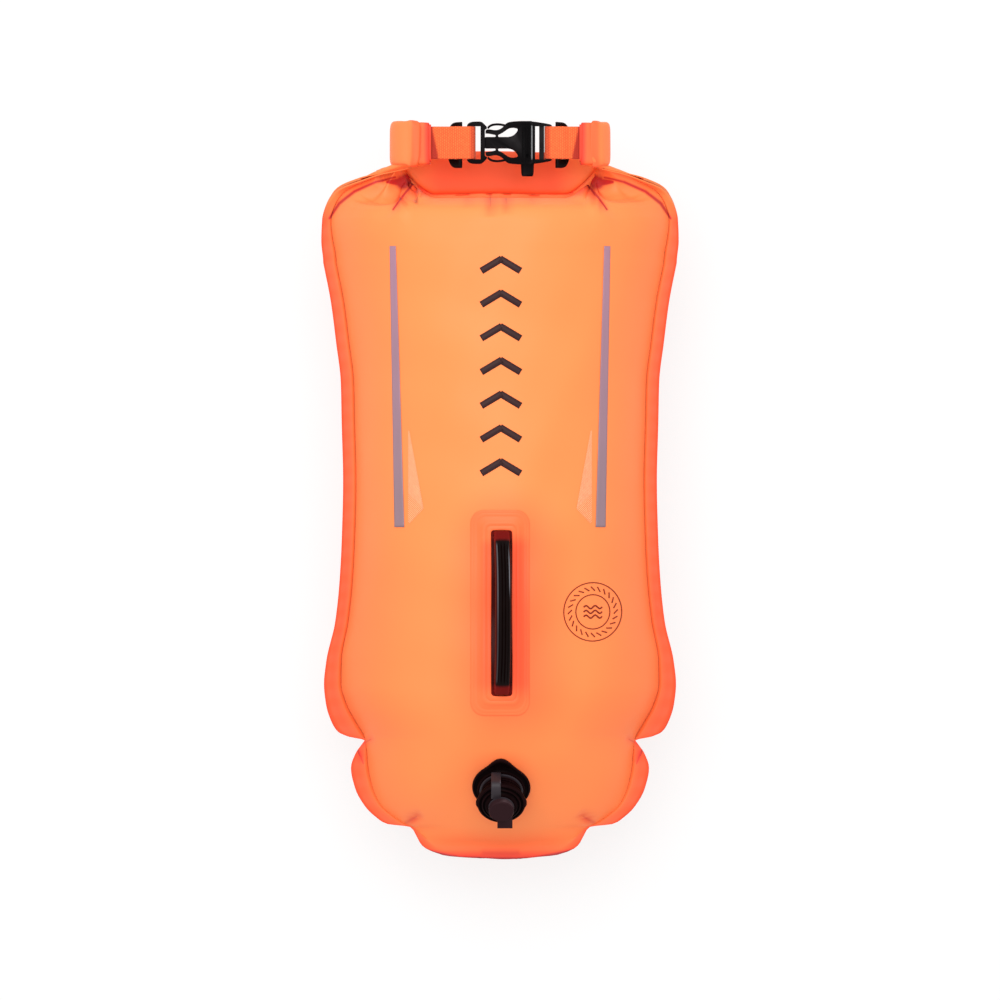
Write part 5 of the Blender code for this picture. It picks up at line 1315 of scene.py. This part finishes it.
# Fine ribs along the whistle's barrel, which help the fingers to hold it
RIB_PLACES = (0.0170, 0.0182, 0.0194, 0.0206, 0.0218, 0.0230)
RIB_WIDTH = 0.00070
RIB_LENGTH = 0.0300
RIB_HEIGHT = 0.00060
# The edge beside the whistle is polished by the mould and catches the light as a pale line, which
# is painted on as a highlight: a thin strip with a pale grey finish
LEDGE_PLACE = 0.0243
LEDGE_WIDTH = 0.0011
LEDGE_LENGTH = 0.0262

black_acetal = moulded(
    "moulded_black_acetal", (0.0034, 0.0026, 0.0030, 1.0), (0.018, 0.016, 0.017, 1.0), 0.42, 0.014)
for node in ("buckle_plug", "buckle_prong_upper", "buckle_prong_lower", "buckle_socket"):
    finish_node(node, black_acetal, 0.00035)


def new_group(name, inputs, output):
    """A new node group, and the places where its named inputs come out."""
    tree = bpy.data.node_groups.new(name, "GeometryNodeTree")
    for label, kind in inputs:
        tree.interface.new_socket(label, in_out="INPUT", socket_type="NodeSocket" + kind)
    tree.interface.new_socket(output, in_out="OUTPUT", socket_type="NodeSocketGeometry")
    return tree, add(tree, "NodeGroupInput").outputs


def set_out(tree, values, finish, output):
    """The last steps of a node group: one piece at each point, made real and given its finish."""
    spread = add(tree, "GeometryNodeInstanceOnPoints", values)
    real = add(tree, "GeometryNodeRealizeInstances", {"Geometry": spread.outputs["Instances"]})
    painted = add(tree, "GeometryNodeSetMaterial", {
        "Geometry": real.outputs["Geometry"], "Material": finish})
    add(tree, "NodeGroupOutput", {output: painted.outputs["Geometry"]})
    return tree


def rib_tree():
    """A node group that sets one rounded rib at each point, along the buckle's width."""
    sizes = ("Width", "Length", "Height")
    tree, given = new_group("whistle_ribs", (
        ("Places", "Geometry"), *((label, "Float") for label in sizes), ("Finish", "Material")),
        "Ribs")
    size = add(tree, "ShaderNodeCombineXYZ", {i: given[label] for i, label in enumerate(sizes)})
    bar = add(tree, "GeometryNodeMeshCube", {
        "Size": size.outputs[0], "Vertices X": 3, "Vertices Y": 9, "Vertices Z": 3})
    soft = add(tree, "GeometryNodeSubdivisionSurface", {"Mesh": bar.outputs["Mesh"], "Level": 1})
    return set_out(
        tree, {"Points": given["Places"], "Instance": soft.outputs["Mesh"]}, given["Finish"],
        "Ribs")


def grown(name, tree, points, settings, attributes=()):
    """The mesh that a node group makes from points and their attributes, as a piece of its own."""
    mesh = bpy.data.meshes.new(name + "_places")
    mesh.from_pydata([tuple(p) for p in points], [], [])
    for label, values in attributes:
        set_attribute(mesh, label, values)
    seeds = placed(name + "_places", mesh)
    grow = seeds.modifiers.new("grow", "NODES")
    grow.node_group = tree
    for item in tree.interface.items_tree:
        if item.in_out == "INPUT" and item.name in settings:
            grow[item.identifier] = settings[item.name]
    graph = bpy.context.evaluated_depsgraph_get()
    graph.update()
    made = bpy.data.meshes.new_from_object(seeds.evaluated_get(graph), depsgraph=graph)
    bpy.data.objects.remove(seeds, do_unlink=True)
    made.name = name
    made.shade_smooth()
    return placed(name, made)


def socket_top(x):
    """The place on top of the buckle's socket, so far along the buckle."""
    obj = frame["nodes"]["buckle_socket"]
    corners = [obj.matrix_world @ v.co for v in obj.data.vertices]
    solid = BVHTree.FromPolygons(corners, [tuple(face.vertices) for face in obj.data.polygons])
    return solid.ray_cast(Vector((x, MOUTH_FRONT_Y, ABOVE_ALL)), DOWN)[0]


gloss_acetal = moulded(
    "whistle_black_acetal", (0.0016, 0.0013, 0.0015, 1.0), (0.010, 0.009, 0.010, 1.0), 0.30, 0.02)
ledge_highlight_finish = moulded("painted_highlight_ledge", (0.12, 0.12, 0.125, 1.0), (0.16, 0.16, 0.165, 1.0), 0.22, 0.3)
ribs_on_points = rib_tree()
ribs = grown(
    "whistle_ribs", ribs_on_points, [socket_top(x) for x in RIB_PLACES],
    {"Width": RIB_WIDTH, "Length": RIB_LENGTH, "Height": RIB_HEIGHT, "Finish": gloss_acetal})
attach(ribs, "bag")
ledge = grown(
    "whistle_ledge", ribs_on_points, [socket_top(LEDGE_PLACE)],
    {"Width": LEDGE_WIDTH, "Length": LEDGE_LENGTH, "Height": RIB_HEIGHT, "Finish": ledge_highlight_finish})
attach(ledge, "bag")

# The inflation valve: a soft rubber flange welded to the front sheet, with a threaded seat, on
# which the valve's body turns. A cap with a pull tab closes it, and a tether holds the cap.

# Painted reflection and highlight: the black rubber's edges take a dark red tint, the orange
# sheet's reflection, and the cap's edges a paler painted highlight
valve_black = moulded(
    "valve_black_rubber", (0.0026, 0.0010, 0.0012, 1.0), (0.075, 0.024, 0.026, 1.0), 0.30, 0.010)
cap_black = moulded(
    "cap_black_rubber", (0.0260, 0.0105, 0.0125, 1.0), (0.080, 0.050, 0.055, 1.0), 0.35, 0.02)
seal_finish = moulded(
    "valve_seal_rubber", (0.09, 0.075, 0.065, 1.0), (0.14, 0.12, 0.10, 1.0), 0.45, 0.35)
finish_node("valve_cap", cap_black, 0.00045, 3)
finish_node("valve_seal", seal_finish, 0.0002)
finish_node("valve_flap", seal_finish, 0.0001)

turning = {joint["name"]: joint for joint in frame["joints"]}["valve_turn"]
VALVE_PLACE = np.array(turning["pos_m"])
VALVE_AXIS = np.array(turning["axis"])
VALVE_ACROSS = np.array((1.0, 0.0, 0.0))
VALVE_UP = np.cross(VALVE_AXIS, VALVE_ACROSS)
EAR_REACH = 0.0062  # of the ear at the top of the flange
EAR_TURN = 0.42  # half width of the ear, as an angle
HUB_RADIUS = 0.0182
HUB_HEIGHT = 0.0034
VALVE_STEPS = 96
ABOVE_VALVE = 0.03  # height over the valve's foot from which the sheet under it is measured
# The flange from its edge inwards: radius, and height over the front sheet
FLANGE_PROFILE = (
    (0.0221, 0.0004), (0.0222, 0.0012), (0.0216, 0.0017), (0.0206, 0.0018), (0.0202, 0.0014),
    (0.0197, 0.0018), (0.0188, 0.0020),
)
# The seat from the flange up and over, in the valve's own heights
SEAT_PROFILE = (
    (0.0183, 0.0026), (0.0180, 0.0033), (0.0172, 0.0034), (0.0162, 0.0034), (0.0160, 0.0030),
    (0.0154, 0.0030), (0.0152, 0.0034), (0.0126, 0.0034), (0.0125, 0.0040), (0.0125, 0.0084),
    (0.0119, 0.0085), (0.0052, 0.0085), (0.0050, 0.0083), (0.0050, 0.0076), (0.0085, 0.0075),
    (0.0085, 0.0006),
)
# And back out under the flange, over the front sheet again
FLANGE_UNDERSIDE = ((0.0085, 0.0004), (0.0150, 0.0004), (0.0221, 0.0004))


def in_valve(radius, angle, height):
    """A point from its distance, turn and height in the valve's own frame."""
    return (VALVE_PLACE + VALVE_ACROSS * radius * math.cos(angle)
            + VALVE_UP * radius * math.sin(angle) + VALVE_AXIS * height)


def skin_under(radius, angle):
    """Height of the front sheet under a point of the valve, in the valve's own frame."""
    start, axis = in_valve(radius, angle, ABOVE_VALVE), Vector(VALVE_AXIS)
    return (skin_tree.ray_cast(Vector(start), -axis)[0] - Vector(VALVE_PLACE)).dot(axis)


def flange_loop(radius, height):
    """One loop of the flange over the sheet, with the ear that holds the tether's root."""
    made = []
    for angle in angles:
        ear = EAR_REACH * math.exp(-(((angle - math.pi / 2) / EAR_TURN) ** 2) * 1.4)
        reach = radius + ear * ease((radius - HUB_RADIUS) / (FLANGE_PROFILE[1][0] - HUB_RADIUS))
        made.append(in_valve(reach, angle, skin_under(reach, angle) + height))
    return made


angles = np.linspace(0, 2 * math.pi, VALVE_STEPS, endpoint=False)
loops = [flange_loop(*place) for place in FLANGE_PROFILE]
loops += [[in_valve(radius, a, height) for a in angles] for radius, height in SEAT_PROFILE]
loops += [flange_loop(*place) for place in FLANGE_UNDERSIDE]
flange = mesh_piece(
    "valve_base", np.concatenate(loops), ring_faces(len(loops), VALVE_STEPS), valve_black, 45.0)
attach(flange, "bag")
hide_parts("valve_flange")

# The valve's body: it turns on the seat to open the valve. Fine grooves run round it, its rim is
# the widest part, and a small lug on either side of the rim helps the fingers to turn it.

LUG_REACH = 0.0010
LUG_TURN = 0.17  # half width of a lug, as an angle
# From the foot of the body up its outside, over its top and down its bore
BODY_PROFILE = (
    (0.0128, 0.0056), (0.0150, 0.0056), (0.0154, 0.0060), (0.0154, 0.0070), (0.0146, 0.0074),
    (0.0146, 0.0080), (0.0156, 0.0084), (0.0158, 0.0090), (0.0158, 0.0102), (0.0149, 0.0106),
    (0.0149, 0.0113), (0.0161, 0.0118), (0.0163, 0.0124), (0.0163, 0.0136), (0.0153, 0.0141),
    (0.0153, 0.0148), (0.0172, 0.0156), (0.0182, 0.0166), (0.0184, 0.0176), (0.0184, 0.0190),
    (0.0178, 0.0199), (0.0168, 0.0202), (0.0164, 0.0196), (0.0156, 0.0196), (0.0152, 0.0202),
    (0.0148, 0.0210), (0.0140, 0.0214), (0.0136, 0.0208), (0.0129, 0.0208), (0.0126, 0.0215),
    (0.0120, 0.0224), (0.0112, 0.0228), (0.0068, 0.0228), (0.0064, 0.0225), (0.0062, 0.0102),
    (0.0128, 0.0102),
)


def body_loop(radius, height):
    """One loop round the body, with the lugs where it is near the rim's radius."""
    near_rim = ease((radius - 0.0165) / 0.0015) * (0.0150 < height < 0.0200)
    made = []
    for angle in angles:
        lug = sum(
            math.exp(-((math.remainder(angle - turned_to, 2 * math.pi) / LUG_TURN) ** 4))
            for turned_to in (0.0, math.pi))
        made.append(in_valve(radius + LUG_REACH * lug * near_rim, angle, height))
    return made


loops = [body_loop(*place) for place in BODY_PROFILE + BODY_PROFILE[:1]]
valve_turret = mesh_piece(
    "valve_turret", np.concatenate(loops), ring_faces(len(loops), VALVE_STEPS), valve_black, 38.0)
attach(valve_turret, "valve_top")
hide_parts("valve_body")

# The tether: a band of soft black rubber, moulded in one with a ring round the seat's neck and a
# smaller ring in the cap's groove. It runs past the body.

TETHER_THICKNESS = 0.0014
TETHER_HALF_WIDTH = 0.0036
TETHER_X = -0.0040
TETHER_RING = (0.0128, 0.0166)
TETHER_SMALL_RING = (0.0073, 0.0098)
BODY_RADIUS = 0.0172
BODY_TOP = 0.0228
BODY_TOP_RADIUS = 0.0112
WING_TOP = 0.0205
WING_BOTTOM = 0.0140
TETHER_LOW = HUB_HEIGHT + GAP + TETHER_THICKNESS / 2  # height of its middle at the neck
TETHER_HIGH = BODY_TOP + GAP + TETHER_THICKNESS / 2  # and at the cap
BAND_STATIONS = 48
BAND_AROUND = 20
BAND_THINNING = 0.85  # the band's thickness as a share of the rings'
SLAB_AROUND = 12


def tether_points():
    """The band's middle line as (distance from the axis, height), round its bends."""
    side = BODY_RADIUS + GAP + TETHER_THICKNESS / 2
    knots = np.array([
        (TETHER_RING[1] - 0.0020, TETHER_LOW), (side, TETHER_LOW),
        (side + 0.0013, TETHER_LOW + 0.0016), (side + 0.0018, WING_BOTTOM - 0.0010),
        (side + 0.0020, WING_TOP - 0.0020), (side + 0.0008, WING_TOP + 0.0006),
        (BODY_TOP_RADIUS + 0.0035, TETHER_HIGH), (TETHER_SMALL_RING[1] - 0.0010, TETHER_HIGH)])
    run = np.concatenate([[0], np.cumsum(np.linalg.norm(np.diff(knots, axis=0), axis=1))])
    at = np.linspace(0, run[-1], BAND_STATIONS)
    line = np.stack([np.interp(at, run, knots[:, i]) for i in (0, 1)], axis=1)
    for _ in range(6):
        line[1:-1] = (line[:-2] + 2 * line[1:-1] + line[2:]) / 4
    return line


def slab_ring(inner, outer, height):
    """A flat ring with rounded edges as closed loops round its section."""
    made = []
    for turn in np.linspace(0, 2 * math.pi, SLAB_AROUND, endpoint=False):
        radius = (inner + outer) / 2 + (outer - inner) / 2 * blunt(math.cos(turn), 0.5)
        up = TETHER_THICKNESS / 2 * blunt(math.sin(turn), 0.5)
        made.append([in_valve(radius, a, height + up) for a in angles])
    return made + made[:1]


line = tether_points()
half_band = TETHER_THICKNESS / 2 * BAND_THINNING
points = []
for i, (radius, height) in enumerate(line):
    ahead = line[min(i + 1, len(line) - 1)] - line[max(i - 1, 0)]
    thick = np.array((-ahead[1], ahead[0])) / np.linalg.norm(ahead)
    for turn in np.linspace(0, 2 * math.pi, BAND_AROUND, endpoint=False):
        across = TETHER_X + TETHER_HALF_WIDTH * blunt(math.cos(turn), 0.35)
        r, h = (radius, height) + thick * half_band * blunt(math.sin(turn), 0.6)
        points.append(VALVE_PLACE + VALVE_ACROSS * across + VALVE_UP * r + VALVE_AXIS * h)
faces = ring_faces(len(line), BAND_AROUND)
faces += [tuple(range(BAND_AROUND)), tuple(range(len(points) - BAND_AROUND, len(points)))]
for (inner, outer), height in ((TETHER_RING, TETHER_LOW), (TETHER_SMALL_RING, TETHER_HIGH)):
    loops = slab_ring(inner, outer, height)
    faces += ring_faces(len(loops), VALVE_STEPS, len(points))
    points += [point for loop in loops for point in loop]
tether_finish = moulded(
    "tether_rubber", (0.022, 0.016, 0.020, 1.0), (0.10, 0.09, 0.11, 1.0), 0.40, 0.22)
tether = mesh_piece("cap_tether", points, faces, tether_finish, 50.0)
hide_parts("valve_tether")
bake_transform(tether)

# The prints: screen-printed ink on the front sheet. Fine slanting lines fade out beside the
# reflective strips, a column of dark chevrons runs down the middle, and a ringed mark with a
# wave in it stands beside the handle. Every print is made of strokes.

INK_HEIGHT = 0.00022
INK_FILM = 0.00008
SLANT = math.radians(45)
HATCH_PITCH = 0.00125
HATCH_WIDTH = 0.00045
HATCH_INNER_X = 0.0698  # beside the strip
HATCH_REACH = 0.0118
HATCH_TOP, HATCH_WIDEST, HATCH_BOTTOM = 0.0490, -0.0090, -0.0275
CHEVRONS = 7
CHEVRON_TOP, CHEVRON_BOTTOM = 0.1700, 0.0165
CHEVRON_CENTRE = 0.0007
CHEVRON_HALF = 0.0142
CHEVRON_RISE = 0.0085
CHEVRON_STROKE = 0.0052
CHEVRON_OVERLAP = 0.3  # how much longer an arm is, as a share of its stroke
MARK_CENTRE = (0.0706, -0.0935)
MARK_RADII = (0.0222, 0.0130)
MARK_LINE = 0.00075
MARK_STEP = 0.0012  # along a ring, between its strokes
MARK_OVERLAP = 1.15
MARK_TICKS = 24
MARK_TICK = (0.0044, 0.0009)  # length and width
WAVE_LINES = 3
WAVE_SPACING = 0.0036
WAVE_STROKE = 0.0011
WAVE_LENGTH = 0.0140
WAVE_HEIGHT = 0.0011
WAVE_STEPS = 14
WAVE_OVERLAP = 1.2


def ink(name, colour):
    """Printed ink: slightly uneven in colour and gloss, as a screen leaves it."""
    finish, tree, shader, place = new_finish(name)
    patchy = noise(tree, place, 260.0, 3.0)
    lighter = tuple(min(1.0, c * 1.35 + 0.004) for c in colour[:3]) + (1.0,)
    wire(tree, shader, {
        "Base Color": mix_colour(tree, patchy, colour, lighter),
        "Roughness": math_node(tree, "MULTIPLY_ADD", patchy, 0.2, 0.4),
        "Specular IOR Level": 0.15})
    return finish


def stroke_tree():
    """A node group that lays one stroke at each point, by the point's turn, length and width."""
    tree, given = new_group(
        "printed_strokes", (("Places", "Geometry"), ("Steps", "Int"), ("Ink", "Material")),
        "Strokes")
    turn, length, width = (
        add(tree, "GeometryNodeInputNamedAttribute", {"Name": label}).outputs["Attribute"]
        for label in ("turn", "length", "width"))
    stroke = add(tree, "GeometryNodeMeshGrid", {
        "Size X": 1.0, "Size Y": 1.0, "Vertices X": given["Steps"], "Vertices Y": 3})
    size = add(tree, "ShaderNodeCombineXYZ", {"X": length, "Y": width, "Z": 1.0})
    turned = add(tree, "ShaderNodeCombineXYZ", {"Z": turn})
    return set_out(tree, {
        "Points": given["Places"], "Instance": stroke.outputs["Mesh"],
        "Rotation": turned.outputs[0], "Scale": size.outputs[0]}, given["Ink"], "Strokes")


strokes_on_points = stroke_tree()


def printed(name, strokes, steps, finish):
    """Strokes (x, y, turn, length, width), laid flat and then dropped on the front sheet."""
    x, y, turn, length, width = np.array(strokes).T
    obj = grown(
        name, strokes_on_points, np.column_stack([x, y, 0 * x]), {"Steps": steps, "Ink": finish},
        (("turn", turn), ("length", length), ("width", width)))
    laid = on_front(vertex_places(obj.data)[:, :2], INK_HEIGHT)
    obj.data.vertices.foreach_set("co", laid.ravel())
    add_wall(obj, "film", INK_FILM)
    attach(obj, "bag")


def hatch_strokes(side):
    """Slanting lines that fill a long wedge: narrow at the top, widest low down."""
    strokes = []
    for y in np.arange(HATCH_BOTTOM, HATCH_TOP, HATCH_PITCH):
        reach = HATCH_REACH * min(
            (HATCH_TOP - y) / (HATCH_TOP - HATCH_WIDEST),
            (y - HATCH_BOTTOM) / (HATCH_WIDEST - HATCH_BOTTOM))
        if reach > HATCH_WIDTH * 2:
            x = side * (HATCH_INNER_X - reach / 2)
            strokes.append((x, y, SLANT * side, reach / math.cos(SLANT), HATCH_WIDTH))
    return strokes


hatch_ink = ink("hatch_ink", (1.0, 0.40, 0.22, 1.0))
for side, word in ((-1.0, "left"), (1.0, "right")):
    printed("hatching_" + word, hatch_strokes(side), 12, hatch_ink)

dark_ink = ink("dark_ink", (0.030, 0.0105, 0.0110, 1.0))
arm_length = math.hypot(CHEVRON_HALF, CHEVRON_RISE) + CHEVRON_STROKE * CHEVRON_OVERLAP
arm_turn = math.atan2(CHEVRON_RISE, CHEVRON_HALF)
printed("printed_chevrons", [
    (CHEVRON_CENTRE + side * CHEVRON_HALF / 2, y, -side * arm_turn, arm_length, CHEVRON_STROKE)
    for y in np.linspace(CHEVRON_TOP, CHEVRON_BOTTOM, CHEVRONS) for side in (-1.0, 1.0)],
    16, dark_ink)


def round_mark(radius, count):
    """So many places on a circle in the mark, each with its turn."""
    return [
        (MARK_CENTRE[0] + radius * math.cos(a), MARK_CENTRE[1] + radius * math.sin(a), a)
        for a in 2 * math.pi * np.arange(count) / count]


mark_ink = ink("mark_ink", (0.20, 0.018, 0.006, 1.0))
mark = []
for radius in MARK_RADII:
    count = int(2 * math.pi * radius / MARK_STEP)
    length = 2 * math.pi * radius / count * MARK_OVERLAP
    mark += [(x, y, a + math.pi / 2, length, MARK_LINE) for x, y, a in round_mark(radius, count)]
mark += [
    (x, y, a + SLANT, *MARK_TICK) for x, y, a in round_mark(sum(MARK_RADII) / 2, MARK_TICKS)]
for line_number in range(WAVE_LINES):
    for t in (np.arange(WAVE_STEPS) + 0.5) / WAVE_STEPS:
        slope = WAVE_HEIGHT * 2 * math.pi * 2 / WAVE_LENGTH * math.cos(4 * math.pi * t)
        length = WAVE_LENGTH / WAVE_STEPS * math.hypot(1, slope) * WAVE_OVERLAP
        y = WAVE_SPACING * (line_number - 1) + WAVE_HEIGHT * math.sin(4 * math.pi * t)
        mark.append((
            MARK_CENTRE[0] + WAVE_LENGTH * (t - 0.5), MARK_CENTRE[1] + y, math.atan(slope),
            length, WAVE_STROKE))
printed("printed_mark", mark, 3, mark_ink)
